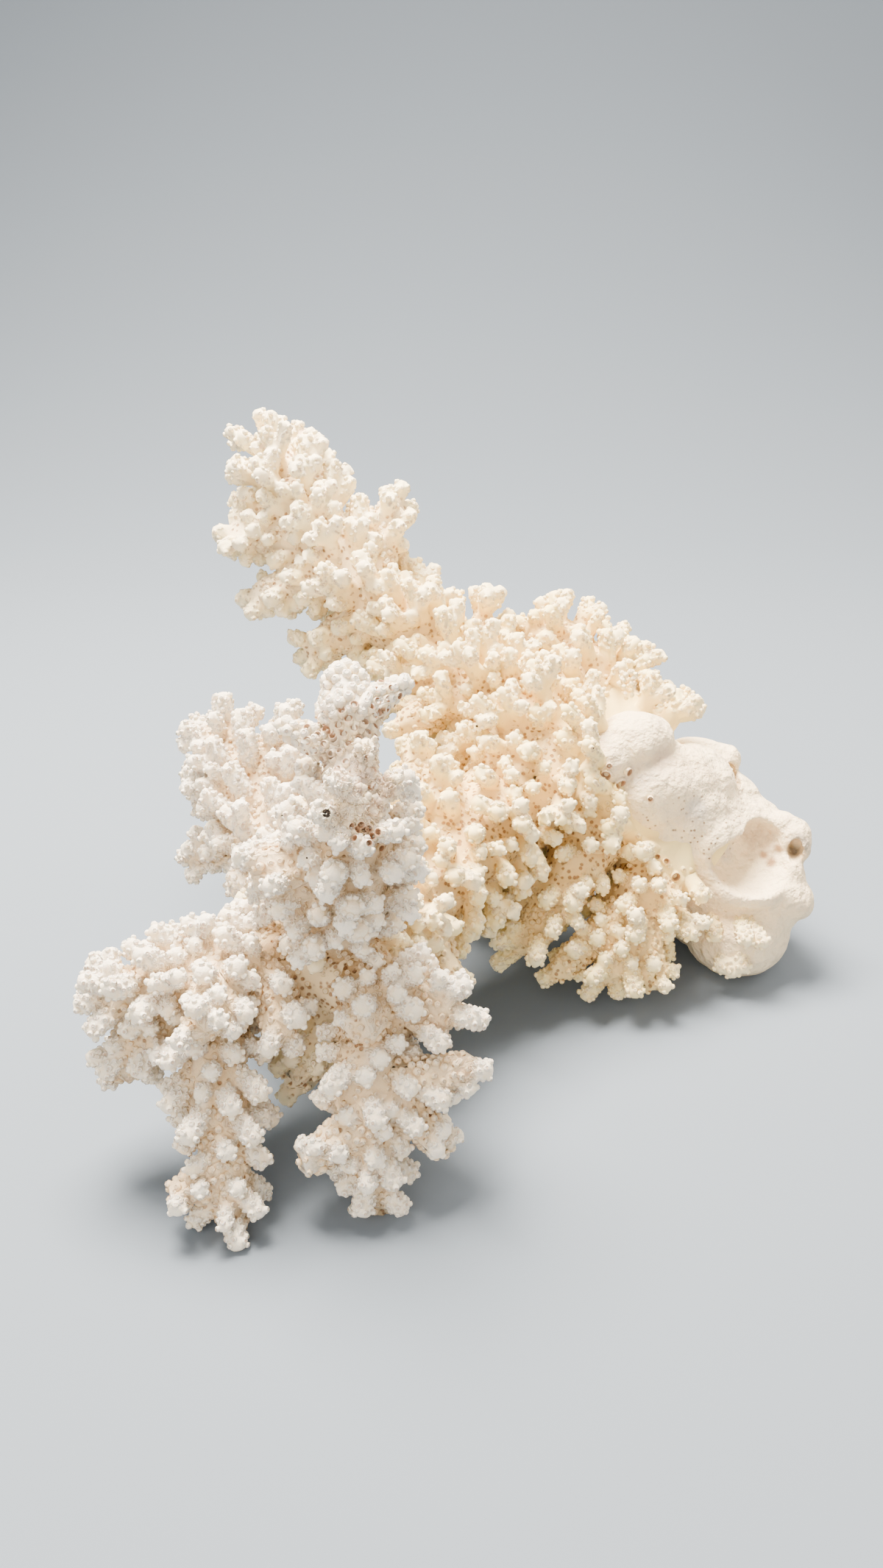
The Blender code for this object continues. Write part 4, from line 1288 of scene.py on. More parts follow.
    def finish_shape(self, colony: Colony) -> None:
        """Adds the open forms, and stores what the finish and the shading read."""
        middles = np.array([knob.middle for knob in self.knobs])
        axes = np.array([knob.axis for knob in self.knobs])
        radii = np.array([knob.radius for knob in self.knobs])
        aims = middles + axes * radii[:, None] * 0.5
        count = self.join_extras()
        points = points_of(self.skin)
        is_skin = np.arange(len(points)) < count
        fingers = [finger for finger in colony.fingers if finger.node == self.node]
        spots = np.array([finger.at(share)[0] for finger in fingers for share in (0.6, 0.8, 1.0)])
        reach = np.repeat([finger.reach for finger in fingers], 3)
        height = np.clip(self.rise_of(points, colony) / reach[nearest_of(points, spots)], -0.2, 1.3)
        above = soft_step(points[:, 2], (self.white_above - 5) * MM, (self.white_above + 5) * MM)
        worn = [1 - soft_step(np.linalg.norm(points - np.array(place(*centre)), axis=1), (radius + 1) * MM,
                              (radius + 12) * MM) for centre, radius in WORN]
        floor = np.maximum(above * 0.5, np.max(worn, axis=0) * 0.45)
        set_attribute(self.skin, "height", np.maximum(height, floor))
        which = nearest_of(points, aims)
        offset = points - middles[which]
        axis, radius = axes[which], radii[which]
        from_tip = offset - axis * radius[:, None]
        flat = from_tip - axis * np.sum(from_tip * axis, axis=1, keepdims=True)
        gap = np.linalg.norm(from_tip, axis=1) / MM
        set_attribute(self.skin, "cup_gap", np.where(is_skin, gap, 9.0))
        set_attribute(self.skin, "cup", np.where(is_skin[:, None], flat / MM, 9.0))
        normals = normals_of(self.skin)
        away = np.linalg.norm(offset, axis=1)
        on_knob = 1 - soft_step(np.abs(away / radius - 1), 0.15, 0.5)
        on_knob *= soft_step(np.sum(normals * offset, axis=1) / np.maximum(away, 1e-9), 0.0, 0.5) * is_skin
        turned = normals + (offset / np.maximum(away, 1e-9)[:, None] - normals) * 0.85 * on_knob[:, None]
        turned /= np.linalg.norm(turned, axis=1, keepdims=True)
        self.skin.data.normals_split_custom_set_from_vertices(turned)


@dataclass
class LipFingers(Lobe):
    """The short fingers under the holdfast's lip, on a pad that lies inside the holdfast."""

    pad: Lump = Lump((98, 43, 24), (14, 9, 13))

    def limbs(self, colony: Colony, kit: Kit) -> Iterator[Shape]:
        """The pad."""
        yield kit.stretched(self.pad)

    def rise_of(self, points: np.ndarray, colony: Colony) -> np.ndarray:
        """How far points stand out in front of the pad, in metres."""
        front = Vector(self.pad.at) - Vector((0, self.pad.size[1], 0))
        return place(*front).y - points[:, 1]


class Web:
    """A material's nodes, and short ways to add and join them."""

    def __init__(self, name: str) -> None:
        """Starts a material with no nodes in it."""
        self.material = bpy.data.materials.new(name)
        self.material.use_nodes = True
        self.tree = self.material.node_tree
        self.tree.nodes.clear()
        self.place = self.node("ShaderNodeTexCoord").outputs["Object"]

    def node(self, kind: str) -> bpy.types.Node:
        """A new node."""
        return self.tree.nodes.new(kind)

    def link(self, start: bpy.types.NodeSocket, end: bpy.types.NodeSocket) -> None:
        """Joins an output to an input."""
        self.tree.links.new(start, end)

    def feed(self, value: object, socket: bpy.types.NodeSocket) -> None:
        """Sets an input from an output, a number or a colour."""
        if isinstance(value, bpy.types.NodeSocket):
            self.link(value, socket)
        elif isinstance(value, tuple):
            socket.default_value = (*value, 1) if len(socket.default_value) == 4 else value
        else:
            socket.default_value = value

    def attribute(self, name: str, output: str) -> bpy.types.NodeSocket:
        """What a piece stores under a name."""
        node = self.node("ShaderNodeAttribute")
        node.attribute_name = name
        return node.outputs[output]

    def math(self, operation: str, a: object, b: object = 0.0) -> bpy.types.NodeSocket:
        """One sum."""
        node = self.node("ShaderNodeMath")
        node.operation = operation
        self.feed(a, node.inputs[0])
        self.feed(b, node.inputs[1])
        return node.outputs[0]

    def times(self, *factors: object) -> bpy.types.NodeSocket:
        """The product of two or more numbers."""
        product = factors[0]
        for factor in factors[1:]:
            product = self.math("MULTIPLY", product, factor)
        return product

    def vector_math(self, operation: str, a: object, b: object = (0.0, 0.0, 0.0)) -> bpy.types.Node:
        """One sum on vectors."""
        node = self.node("ShaderNodeVectorMath")
        node.operation = operation
        self.feed(a, node.inputs[0])
        self.feed(b, node.inputs[1])
        return node

    def length(self, vector: bpy.types.NodeSocket) -> bpy.types.NodeSocket:
        """The length of a vector."""
        return self.vector_math("LENGTH", vector).outputs["Value"]

    def away_from(self, point: Vector) -> bpy.types.NodeSocket:
        """The distance from a point, in metres."""
        return self.vector_math("DISTANCE", self.place, tuple(point)).outputs["Value"]

    def step(self, value: bpy.types.NodeSocket, low: float, high: float) -> bpy.types.NodeSocket:
        """A soft step: 0 at low and 1 at high, which may be the smaller of the two."""
        node = self.node("ShaderNodeMapRange")
        node.interpolation_type = "SMOOTHSTEP"
        turned = low > high
        self.feed(value, node.inputs["Value"])
        node.inputs["From Min"].default_value = high if turned else low
        node.inputs["From Max"].default_value = low if turned else high
        node.inputs["To Min"].default_value = 1.0 if turned else 0.0
        node.inputs["To Max"].default_value = 0.0 if turned else 1.0
        return node.outputs["Result"]

    def bell(self, value: bpy.types.NodeSocket, middle: float, spread: float) -> bpy.types.NodeSocket:
        """1 at the middle, and 0 a spread away from it."""
        away = self.math("ABSOLUTE", self.math("SUBTRACT", value, middle))
        return self.step(away, spread, 0.0)

    def mix(self, share: object, a: object, b: object) -> bpy.types.NodeSocket:
        """A colour between two."""
        node = self.node("ShaderNodeMix")
        node.data_type = "RGBA"
        self.feed(share, node.inputs[0])
        self.feed(a, node.inputs[6])
        self.feed(b, node.inputs[7])
        return node.outputs[2]

    def noise(self, scale: float, low: float, high: float, detail: float = 3.0) -> bpy.types.NodeSocket:
        """Noise, spread so that it runs from 0 to 1."""
        node = self.node("ShaderNodeTexNoise")
        node.inputs["Scale"].default_value = scale
        node.inputs["Detail"].default_value = detail
        self.link(self.place, node.inputs["Vector"])
        return self.step(node.outputs["Fac"], low, high)

    def dots(self, scale: float, size: float, randomness: float = 0.8) -> bpy.types.NodeSocket:
        """Scattered round dots."""
        cells = self.node("ShaderNodeTexVoronoi")
        cells.inputs["Scale"].default_value = scale
        cells.inputs["Randomness"].default_value = randomness
        self.link(self.place, cells.inputs["Vector"])
        return self.step(cells.outputs["Distance"], size * 1.35, size * 0.75)

    def close(self, colour: bpy.types.NodeSocket, relief: bpy.types.NodeSocket, roughness: float,
              depth: float, glow: float) -> bpy.types.Material:
        """Adds the shader.

        Args:
            colour: the colour.
            relief: the height of the fine relief, in depths.
            roughness: how dull the skin is.
            depth: how deep a relief of 1 is, in metres.
            glow: how much light goes through the skin.

        Returns:
            The material.
        """
        bump = self.node("ShaderNodeBump")
        bump.inputs["Strength"].default_value = 1.0
        bump.inputs["Distance"].default_value = depth
        self.link(relief, bump.inputs["Height"])
        shader = self.node("ShaderNodeBsdfPrincipled")
        shader.inputs["Roughness"].default_value = roughness
        shader.inputs["Specular IOR Level"].default_value = 0.25
        shader.inputs["Subsurface Weight"].default_value = glow
        shader.inputs["Subsurface Radius"].default_value = (1.0, 0.62, 0.33)
        shader.inputs["Subsurface Scale"].default_value = 0.0015
        self.link(colour, shader.inputs["Base Color"])
        self.link(bump.outputs["Normal"], shader.inputs["Normal"])
        out = self.node("ShaderNodeOutputMaterial")
        self.link(shader.outputs["BSDF"], out.inputs["Surface"])
        return self.material


@dataclass(frozen=True)
class SkeletonFinish:
    """Bleached coral: white knobs, warm creamy sides, and tan porous skin between the fingers, darker and warmer
    deep down, partly its own tan and partly painted crevice shade.
    """

    name: str
    tip: Colour
    side: Colour
    # The skin's own tan deep between the fingers, which also stands in for painted crevice shade.
    root: Colour
    # The dark of the pores, also painted as shade inside the mouths of the open cups.
    pore_and_mouth_shade: Colour = (0.26, 0.12, 0.055)
    # The painted shade in the mouth of each knob's cup.
    cup_mouth_shade: Colour = (0.50, 0.32, 0.20)
    # The dark of specks, also painted as shade in a deep hole.
    speck_and_hole_shade: Colour = (0.03, 0.022, 0.018)
    white_from: float = 0.25
    white_at: float = 0.9
    pale: Colour = (0.90, 0.84, 0.72)
    heart: Point = (40, 62, 75)
    pale_from: float = 0.075
    pale_at: float = 0.16
    grain: float = 0.10
    depth: float = 0.00026
    roughness: float = 0.75

    def material(self, specks: Iterable[tuple[Vector, float]] = (),
                 stains: Iterable[tuple[Vector, float, Colour]] = ()) -> bpy.types.Material:
        """The material.

        Args:
            specks: places of dark specks, and of painted shade in a deep hole, each with its radius in metres.
            stains: places of soft stains, some partly painted shade, each with its radius in metres and its
                colour.

        Returns:
            The material.
        """
        web = Web(self.name)
        height = web.attribute("height", "Fac")
        cup_gap = web.attribute("cup_gap", "Fac")
        across = web.length(web.attribute("cup", "Vector"))
        # Darker and warmer deeper down between the fingers: partly the skin's own tan, partly painted crevice
        # shade.
        body = web.mix(web.step(height, -0.02, 0.5), self.root, self.side)
        blotches = web.noise(55, 0.42, 0.72)
        body = web.mix(web.times(blotches, 0.35), body, self.root)
        near_knob = web.step(cup_gap, 2.6, 0.9)
        whiteness = web.step(height, self.white_from, self.white_at)
        white = web.math("MAXIMUM", web.times(near_knob, web.math("ADD", web.times(whiteness, 0.75), 0.15)),
                         web.times(web.step(height, 0.5, 1.05), 0.85))
        body = web.mix(white, body, self.tip)
        far = web.step(web.away_from(place(*self.heart)), self.pale_from, self.pale_at)
        body = web.mix(web.times(far, 0.4), body, self.pale)
        bare = web.times(web.step(height, 0.34, 0.10), web.step(cup_gap, 1.3, 2.0))
        pores = web.times(web.dots(430, 0.30), bare, web.noise(90, 0.24, 0.38))
        body = web.mix(web.times(pores, 0.8), body, self.pore_and_mouth_shade)
        # A painted shade spot in the mouth of each knob's cup, with a dent in the relief.
        is_cup = web.times(web.step(across, 0.62, 0.25), web.step(cup_gap, 1.15, 0.9))
        faint = web.noise(300, 0.4, 0.6, detail=1.0)
        body = web.mix(web.times(is_cup, web.math("ADD", web.times(faint, 0.5), 0.2)), body, self.cup_mouth_shade)
        # Painted shade, as dark as the pores, inside the mouths of the open cups.
        body = web.mix(web.times(web.attribute("hollow", "Fac"), 0.9), body, self.pore_and_mouth_shade)
        # Soft stains; the grey one on the prong's neck is partly painted shade.
        for place_of, size, colour in stains:
            soft = web.times(web.step(web.away_from(place_of), size, size * 0.2), web.noise(160, 0.35, 0.7))
            body = web.mix(web.times(soft, 0.75), body, colour)
        # Dark specks, and the painted shade in the deep hole of the upper lobe.
        for place_of, size in specks:
            body = web.mix(web.step(web.away_from(place_of), size, size * 0.8), body, self.speck_and_hole_shade)
        rim = web.times(web.bell(across, 0.75, 0.3), web.step(cup_gap, 1.5, 1.1))
        relief = web.math("SUBTRACT", web.times(rim, 0.5), web.times(is_cup, 1.0))
        relief = web.math("SUBTRACT", relief, web.times(pores, 1.2))
        relief = web.math("ADD", relief, web.times(web.noise(1100, 0.3, 0.75), self.grain))
        relief = web.math("ADD", relief, web.times(web.noise(260, 0.3, 0.75), 0.2))
        return web.close(body, relief, self.roughness, depth=self.depth, glow=0.12)


WHITE = SkeletonFinish("white coral", tip=(0.92, 0.85, 0.75), side=(0.90, 0.77, 0.56), root=(0.74, 0.55, 0.33),
                       white_from=0.0, white_at=0.45, grain=0.3, depth=0.0004, pale_from=1.0,
                       pale_at=2.0)
CREAM = SkeletonFinish("cream coral", tip=(0.97, 0.81, 0.52), side=(0.97, 0.79, 0.37), root=(0.81, 0.58, 0.26))


@dataclass(frozen=True)
class WornFinish:
    """The holdfast's smooth worn skin: cream-white, with faint warm blotches and growth lines."""

    name: str = "worn coral"
    face: Colour = (0.94, 0.77, 0.52)
    blotch: Colour = (0.82, 0.61, 0.37)
    mottle: Colour = (0.68, 0.57, 0.45)
    # The dark of the pores, also painted as shade inside the mouths of the open cups.
    pore_and_mouth_shade: Colour = (0.30, 0.15, 0.075)
    grey: Colour = (0.36, 0.34, 0.31)
    tan: Colour = (0.62, 0.42, 0.24)
    roughness: float = 0.62

    def material(self, bowl: Vector, porous: Vector, stains: Iterable[tuple[Vector, float, Colour]] = ()
                 ) -> bpy.types.Material:
        """The material.

        Args:
            bowl: the middle of the bowl, about which the growth lines run.
            porous: the middle of the porous skin next to the fingers.
            stains: places of soft stains, and of painted shade in creases and holes, each with its radius in
                metres and its colour.

        Returns:
            The material.
        """
        web = Web(self.name)
        broad = web.noise(24, 0.46, 0.72)
        body = web.mix(web.times(broad, 0.6), self.face, self.blotch)
        body = web.mix(web.times(web.noise(95, 0.50, 0.72), 0.35), body, self.mottle)
        near = web.times(web.step(web.away_from(porous), 0.032, 0.020), web.noise(70, 0.42, 0.55))
        pores = web.times(web.dots(400, 0.16), near)
        body = web.mix(web.times(pores, 0.8), body, self.pore_and_mouth_shade)
        # Soft stains, and painted shade in the holdfast's creases and holes.
        for place_of, size, colour in stains:
            soft = web.times(web.step(web.away_from(place_of), size, size * 0.25), web.noise(220, 0.2, 0.5))
            body = web.mix(web.times(soft, 0.85), body, colour)
        # Painted shade, as dark as the pores, inside the mouths of the open cups.
        body = web.mix(web.times(web.attribute("hollow", "Fac"), 0.9), body, self.pore_and_mouth_shade)
        away = web.away_from(bowl)
        waver = web.noise(60, 0.2, 0.8)
        phase = web.math("ADD", web.times(away, 2600.0), web.times(waver, 5.0))
        lines = web.times(web.math("SINE", phase), web.step(away, 0.022, 0.014))
        relief = web.math("ADD", web.times(lines, 0.10), web.times(web.noise(700, 0.3, 0.8), 0.2))
        relief = web.math("ADD", relief, web.times(web.noise(150, 0.3, 0.8), 1.6))
        relief = web.math("ADD", relief, web.times(web.noise(420, 0.35, 0.7), 0.5))
        relief = web.math("SUBTRACT", relief, web.times(pores, 1.2))
        return web.close(body, relief, self.roughness, depth=0.0007, glow=0.12)


@dataclass
class Holdfast(Piece):
    """The worn lump by which the colony held on to the reef."""

    node: str = "holdfast"
    slot: str = "worn_skeleton"
    triangles: int = 44000
    voxel: float = 0.8
    lumps: tuple[Lump, ...] = (
        Lump((95, 64, 36), (27, 33, 38)),
        Lump((104, 46, 17), (22, 25, 20)),
        Lump((84, 66, 70), (20, 20, 20)),
        Lump((97, 70, 58), (20, 18, 19)),
        Lump((57, 57, 95.5), (17, 14, 13), (0, -10, 0)),
        Lump((45, 52, 91), (12, 13, 12)),
        Lump((66, 54, 76), (22, 18, 19)),
        Lump((76, 59, 75), (19, 18, 18)),
        Lump((80, 52, 66), (18, 15, 17)),
        Lump((66, 58, 86), (15, 14, 12)),
        Lump((90, 81, 79), (17, 9, 8), (0, 8, 0)),
        Lump((101, 79, 79), (6, 7, 6)),
        Lump((111, 63, 52), (15, 13, 13)),
        Lump((112, 62, 36), (18, 20, 20)),
        Lump((90, 44, 56), (11, 10, 14)),
        Lump((125, 52, 55), (8, 9, 9)),
        Lump((120, 55, 61), (6, 6, 5)),
        Lump((127, 47, 54), (4, 6, 6)),
        Lump((104, 40, 40), (20, 14, 9)),
        Lump((121, 40, 36), (14, 11, 9), (0, 35, 0)),
        Lump((121.5, 44, 40), (8, 10, 11)),
        Lump((114, 46, 28), (15, 18, 14)),
    )
    hollows: tuple[Lump, ...] = (
        Lump((106, 28, 53), (19, 24, 12)),
        Lump((110, 42, 58), (9.5, 14, 9)),
        Lump((100, 68, 75), (5, 9, 6)),
        Lump((124, 43, 54), (3.4, 9, 4.8), (0, 0, -15)),
    )
    cover_shift: Point = (0.0, -1.2, 1.6)
    cover_length: float = 52.0

    def build(self, colony: Colony, kit: Kit) -> None:
        """Models the holdfast.

        Args:
            colony: where the trunk starts.
            kit: the forms that repeat.
        """
        lumps = [kit.stretched(lump) for lump in self.lumps]
        points, radii = colony.cores["trunk"].stretch(0.0, self.cover_length * MM)
        points, radii = tapered(points, radii, 0.0, 4 * MM)
        lumps.append(kit.sleeve.bent(np.array(points) + np.array(self.cover_shift) * MM, np.array(radii)))
        self.skin = object_of("holdfast_skin", joined(lumps))
        add_modifier(self.skin, "REMESH", mode="VOXEL", voxel_size=1.2 * MM)
        add_modifier(self.skin, "SMOOTH", factor=0.5, iterations=5)
        for hollow in self.hollows:
            cutter = object_of("hollow", kit.stretched(hollow))
            add_modifier(self.skin, "BOOLEAN", operation="DIFFERENCE", solver="EXACT", object=cutter)
            bpy.data.objects.remove(cutter, do_unlink=True)
        add_modifier(self.skin, "REMESH", mode="VOXEL", voxel_size=self.voxel * MM)
        keep_largest_shell(self.skin)
        add_modifier(self.skin, "SMOOTH", factor=0.5, iterations=1)
        self.weather()
        ratio = min(1.0, self.triangles / (2 * len(self.skin.data.polygons)))
        add_modifier(self.skin, "DECIMATE", ratio=ratio, use_collapse_triangulate=True)
        cut_at_floor(self.skin)
        self.skin.data.shade_smooth()

    def weather(self) -> None:
        """Makes the skin a little uneven, in broad and in fine swells."""
        points = points_of(self.skin)
        swell = [noise.noise(Vector(point) * 90) * 0.8 + noise.noise(Vector(point) * 260) * 0.35
                 for point in points.tolist()]
        put_points(self.skin, points + normals_of(self.skin) * np.array(swell)[:, None] * MM)


@dataclass(frozen=True)
class Eye:
    """The camera: where it stands, in metres, how it looks down, and the size of the picture."""

    at: Point = (-0.01815, -0.4415, 0.300)
    pitch: float = 65.0
    focal_pixels: float = 1750.0
    picture: tuple[int, int] = (1200, 2131)
    sensor: float = 36.0

    def add(self) -> None:
        """Adds the camera to the scene."""
        deselect_all()
        bpy.ops.object.camera_add(location=self.at, rotation=(math.radians(self.pitch), 0, 0))
        camera = bpy.context.object
        camera.name = "camera"
        camera.data.sensor_width = self.sensor
        camera.data.lens = self.sensor * self.focal_pixels / max(self.picture)
        camera.data.clip_start = 0.01
        bpy.context.scene.camera = camera

    def spot(self, skins: dict[str, BVHTree], across: float, down: float) -> tuple[str, Vector, Vector]:
        """Where a pixel of the picture falls on the coral.

        Args:
            skins: the skin of each node.
            across: the pixel, from the left.
            down: the pixel, from the top.

        Returns:
            The node that is seen there, the point, and the way the skin faces.
        """
        ray = Vector((across - self.picture[0] / 2, self.picture[1] / 2 - down, -self.focal_pixels))
        ray.rotate(Matrix.Rotation(math.radians(self.pitch), 3, "X"))
        eye = Vector(self.at)
        hits = []
        for node, skin in skins.items():
            point, normal, _, away = skin.ray_cast(eye, ray.normalized())
            if point is not None:
                hits.append((away, node, point, normal))
        if not hits:
            raise ValueError(f"nothing at pixel {across}, {down}")
        return min(hits)[1:]


@dataclass(frozen=True)
class Studio:
    """The pale sweep and the soft lights. Places are in metres in the frame."""

    floor_colour: Colour = (0.155, 0.19, 0.24)
    warm: Colour = (1.0, 0.89, 0.74)

    def build(self) -> None:
        """Sets up the whole studio."""
        self.build_sweep()
        self.add_light("key", (-0.22, 0.22, 1.05), (0.0, 0.02, 0.08), size=0.55, power=105, colour=self.warm)
        self.add_light("fill", (-0.5, -1.2, 0.7), (0.0, 0.0, 0.08), size=1.2, power=20, colour=self.warm)
        self.add_light("side", (0.75, -0.75, 0.45), (0.12, 0.03, 0.07), size=0.6, power=2.5, colour=self.warm)
        self.add_light("backdrop", (0.0, 0.7, 1.9), (0.0, 1.7, 0.9), size=1.6, power=55, colour=self.warm)
        self.add_light("rim", (0.9, 0.5, 0.6), (0.0, 0.05, 0.1), size=0.8, power=12, colour=self.warm)
        world = bpy.context.scene.world or bpy.data.worlds.new("studio")
        bpy.context.scene.world = world
        world.use_nodes = True
        back = world.node_tree.nodes["Background"]
        back.inputs["Color"].default_value = (1.0, 0.95, 0.88, 1)
        back.inputs["Strength"].default_value = 0.55

    def build_sweep(self) -> None:
        """A floor that turns up into a wall behind the coral, in one round sweep."""
        deselect_all()
        bpy.ops.mesh.primitive_plane_add(size=6, location=(0, -1.2, 0))
        sweep = bpy.context.object
        sweep.name = "sweep"
        bpy.ops.object.transform_apply(location=True, rotation=True, scale=True)
        for vert in sweep.data.vertices:
            vert.select = vert.co.y > 1.7
        for edge in sweep.data.edges:
            edge.select = all(sweep.data.vertices[i].select for i in edge.vertices)
        for face in sweep.data.polygons:
            face.select = False
        bpy.ops.object.mode_set(mode="EDIT")
        bpy.ops.mesh.select_mode(type="EDGE")
        bpy.ops.mesh.extrude_region_move(TRANSFORM_OT_translate={"value": (0, 0, 3)})
        bpy.ops.object.mode_set(mode="OBJECT")
        add_modifier(sweep, "BEVEL", width=1.2, segments=16, limit_method="ANGLE")
        sweep.data.shade_smooth()
        paper = bpy.data.materials.new("paper")
        paper.use_nodes = True
        shader = paper.node_tree.nodes["Principled BSDF"]
        shader.inputs["Base Color"].default_value = (*self.floor_colour, 1)
        shader.inputs["Roughness"].default_value = 0.9
        sweep.data.materials.append(paper)

    @staticmethod
    def add_light(name: str, at: Point, aim: Point, size: float, power: float, colour: Colour) -> None:
        """A square soft light, at a place and aimed at another, in metres and watts."""
        deselect_all()
        bpy.ops.object.light_add(type="AREA", location=at)
        lamp = bpy.context.object
        lamp.name = name
        lamp.data.size = size
        lamp.data.energy = power
        lamp.data.color = colour
        lamp.rotation_euler = (Vector(aim) - Vector(at)).to_track_quat("-Z", "Y").to_euler()


@dataclass
class FineWork:
    """What single places of the photograph show: open cups, the worn patch, stains and specks, and painted shade
    in holes and creases.
    """

    eye: Eye = field(default_factory=Eye)
    neck_cups: float = 11.0
    ledge_cups: tuple[tuple[float, float], ...] = (
        (472, 1120), (480, 1131), (489, 1118), (494, 1130), (503, 1124), (508, 1137), (518, 1131), (487, 1142),
        (499, 1146), (514, 1149),
    )
    patch_middle: tuple[float, float] = (490, 1070)
    patch_size: float = 11.5
    patch_spots: tuple[tuple[float, float, float], ...] = ((464, 1050, 6.0), (510, 1099, 6.0), (528, 1068, 5.0))
    bristles: int = 1100
    shoulder_cups: tuple[tuple[float, float, float], ...] = (
        (824, 1052, 1.9), (842, 1062, 2.0), (852, 1048, 1.5), (836, 1071, 1.3), (828, 1041, 1.1),
        (905, 1172, 1.3), (917, 1190, 1.7), (893, 1166, 1.1), (884, 1085, 1.0),
    )
    # Soft darker patches on the holdfast, each as a pixel, a radius in millimetres and a colour. The three along
    # the crease under the shoulder are a tan stain with painted shadow in the crease; the three small brown ones
    # are cracks.
    stains_and_painted_shade: tuple[tuple[float, float, float, Colour], ...] = (
        (1030, 1140, 12.0, (0.62, 0.46, 0.30)), (900, 1032, 8.0, (0.68, 0.52, 0.37)),
        (872, 1052, 8.0, (0.70, 0.58, 0.45)), (845, 1068, 7.0, (0.66, 0.56, 0.45)),
        (945, 1100, 7.0, (0.68, 0.60, 0.50)), (930, 1165, 8.0, (0.80, 0.66, 0.52)),
        (985, 1160, 6.0, (0.70, 0.62, 0.52)), (955, 1205, 9.0, (0.76, 0.66, 0.56)),
        (1048, 1172, 3.6, (0.34, 0.18, 0.08)), (1038, 1162, 2.6, (0.34, 0.18, 0.08)),
        (1058, 1153, 2.8, (0.40, 0.23, 0.11)), (1091, 1147, 8.0, (0.34, 0.29, 0.24)),
        # Painted shade, near black, in the hole of the knob.
        (1077, 1157, 5.0, (0.07, 0.055, 0.045)),
    )
    trunk_specks: tuple[tuple[float, float, float], ...] = ((648, 987, 0.6), (807, 1017, 0.5))
    # The first front speck is painted shade in a deep hole of the upper lobe; the other two are small dark specks.
    front_specks_and_hole_shade: tuple[tuple[float, float, float], ...] = ((444, 1105, 1.5), (417, 1166, 0.35), (383, 1108, 0.4))

    def cup_the_neck(self, lobe: Lobe, colony: Colony, kit: Kit) -> None:
        """Open cups, in rows, on the prong at the top of the upper lobe."""
        dice = random.Random(31)
        cups = []
        for name in ("prong", "prong_left", "prong_right"):
            core = colony.cores[name]
            distance, turn = 2 * MM, dice.uniform(0, 2 * math.pi)
            while distance < core.length * 0.8:
                point, tangent, radius = core.at(distance)
                first, second = side_directions(tangent)
                outwards = first * math.cos(turn) + second * math.sin(turn)
                turn += GOLDEN_ANGLE
                distance += self.neck_cups * MM * MM / (2 * math.pi * radius) * dice.uniform(0.85, 1.15)
                girth = dice.uniform(1.25, 1.6) * MM
                axis = (outwards + tangent * 0.6).normalized()
                foot = point + outwards * (radius - 0.2 * MM) - axis * 1.5 * MM
                cups.append((foot, axis, girth, 2.8 * MM))
        lobe.add_cups(kit, cups)

    def cup_the_ledge(self, pieces: dict[str, Piece], skins: dict[str, BVHTree], kit: Kit) -> None:
        """The row of open tubes under the ledge of the upper lobe."""
        dice = random.Random(32)
        for across, down in self.ledge_cups:
            node, point, normal = self.eye.spot(skins, across, down)
            axis = (normal + Vector((dice.uniform(-0.2, 0.2), -0.5, dice.uniform(0.0, 0.3)))).normalized()
            cup = (point - axis * 1.0 * MM, axis, dice.uniform(1.2, 1.5) * MM, 3.0 * MM)
            pieces[node].add_cups(kit, [cup])

    def cup_the_shoulder(self, pieces: dict[str, Piece], skins: dict[str, BVHTree], kit: Kit) -> None:
        """The ring-shaped cups beside the smooth shoulder."""
        for across, down, girth in self.shoulder_cups:
            node, point, normal = self.eye.spot(skins, across, down)
            pieces[node].add_cups(kit, [(point - normal * 0.9 * MM, normal, girth * 1.25 * MM, 2.4 * MM)])

    def roughen_the_patch(self, lobe: Lobe, skins: dict[str, BVHTree], kit: Kit) -> Vector:
        """Fine broken spikes on the worn patch of the upper lobe.

        Args:
            lobe: the upper lobe.
            skins: the skin of each node.
            kit: the forms that repeat.

        Returns:
            The middle of the patch.
        """
        dice = random.Random(33)
        _, middle, facing = self.eye.spot(skins, *self.patch_middle)
        first, second = side_directions(facing)
        feet, ways, sizes, clumps = [], [], [], []
        for k in range(self.bristles):
            spread = self.patch_size * MM * math.sqrt((k + 0.5) / self.bristles) * dice.uniform(0.85, 1.15)
            angle = k * GOLDEN_ANGLE
            start = middle + facing * 0.012 + (first * math.cos(angle) + second * math.sin(angle)) * spread
            point, normal, _, _ = skins[lobe.node].ray_cast(start, -facing, 0.03)
            if point is None:
                continue
            ray = Vector((dice.uniform(-1, 1), dice.uniform(-1, 1), dice.uniform(-0.6, 1)))
            way = (normal + ray * 0.5).normalized()
            feet.append(point - way * 0.3 * MM)
            ways.append(way)
            sizes.append((dice.uniform(0.25, 0.5) * MM, dice.uniform(0.9, 2.0) * MM))
            if k % 9 == 0:
                clumps.append(Knob(point, way, dice.uniform(0.8, 1.5) * MM))
        lobe.extras.append(kit.bristle.copies(np.array(feet), np.array(ways), np.array(sizes)))
        lobe.extras.append(copies_of_knobs(kit.knob, clumps))
        return middle

    def worn_stains_and_shade(self, skins: dict[str, BVHTree]) -> Iterator[tuple[Vector, float, Colour]]:
        """The stains and painted shade of the holdfast: those in view, and the painted shade in the hollow under
        its crest.
        """
        # Painted shade in the hollow under the crest.
        yield place(100, 67, 74), 0.0065, (0.36, 0.30, 0.23)
        for across, down, size, colour in self.stains_and_painted_shade:
            yield self.eye.spot(skins, across, down)[1], size * MM, colour

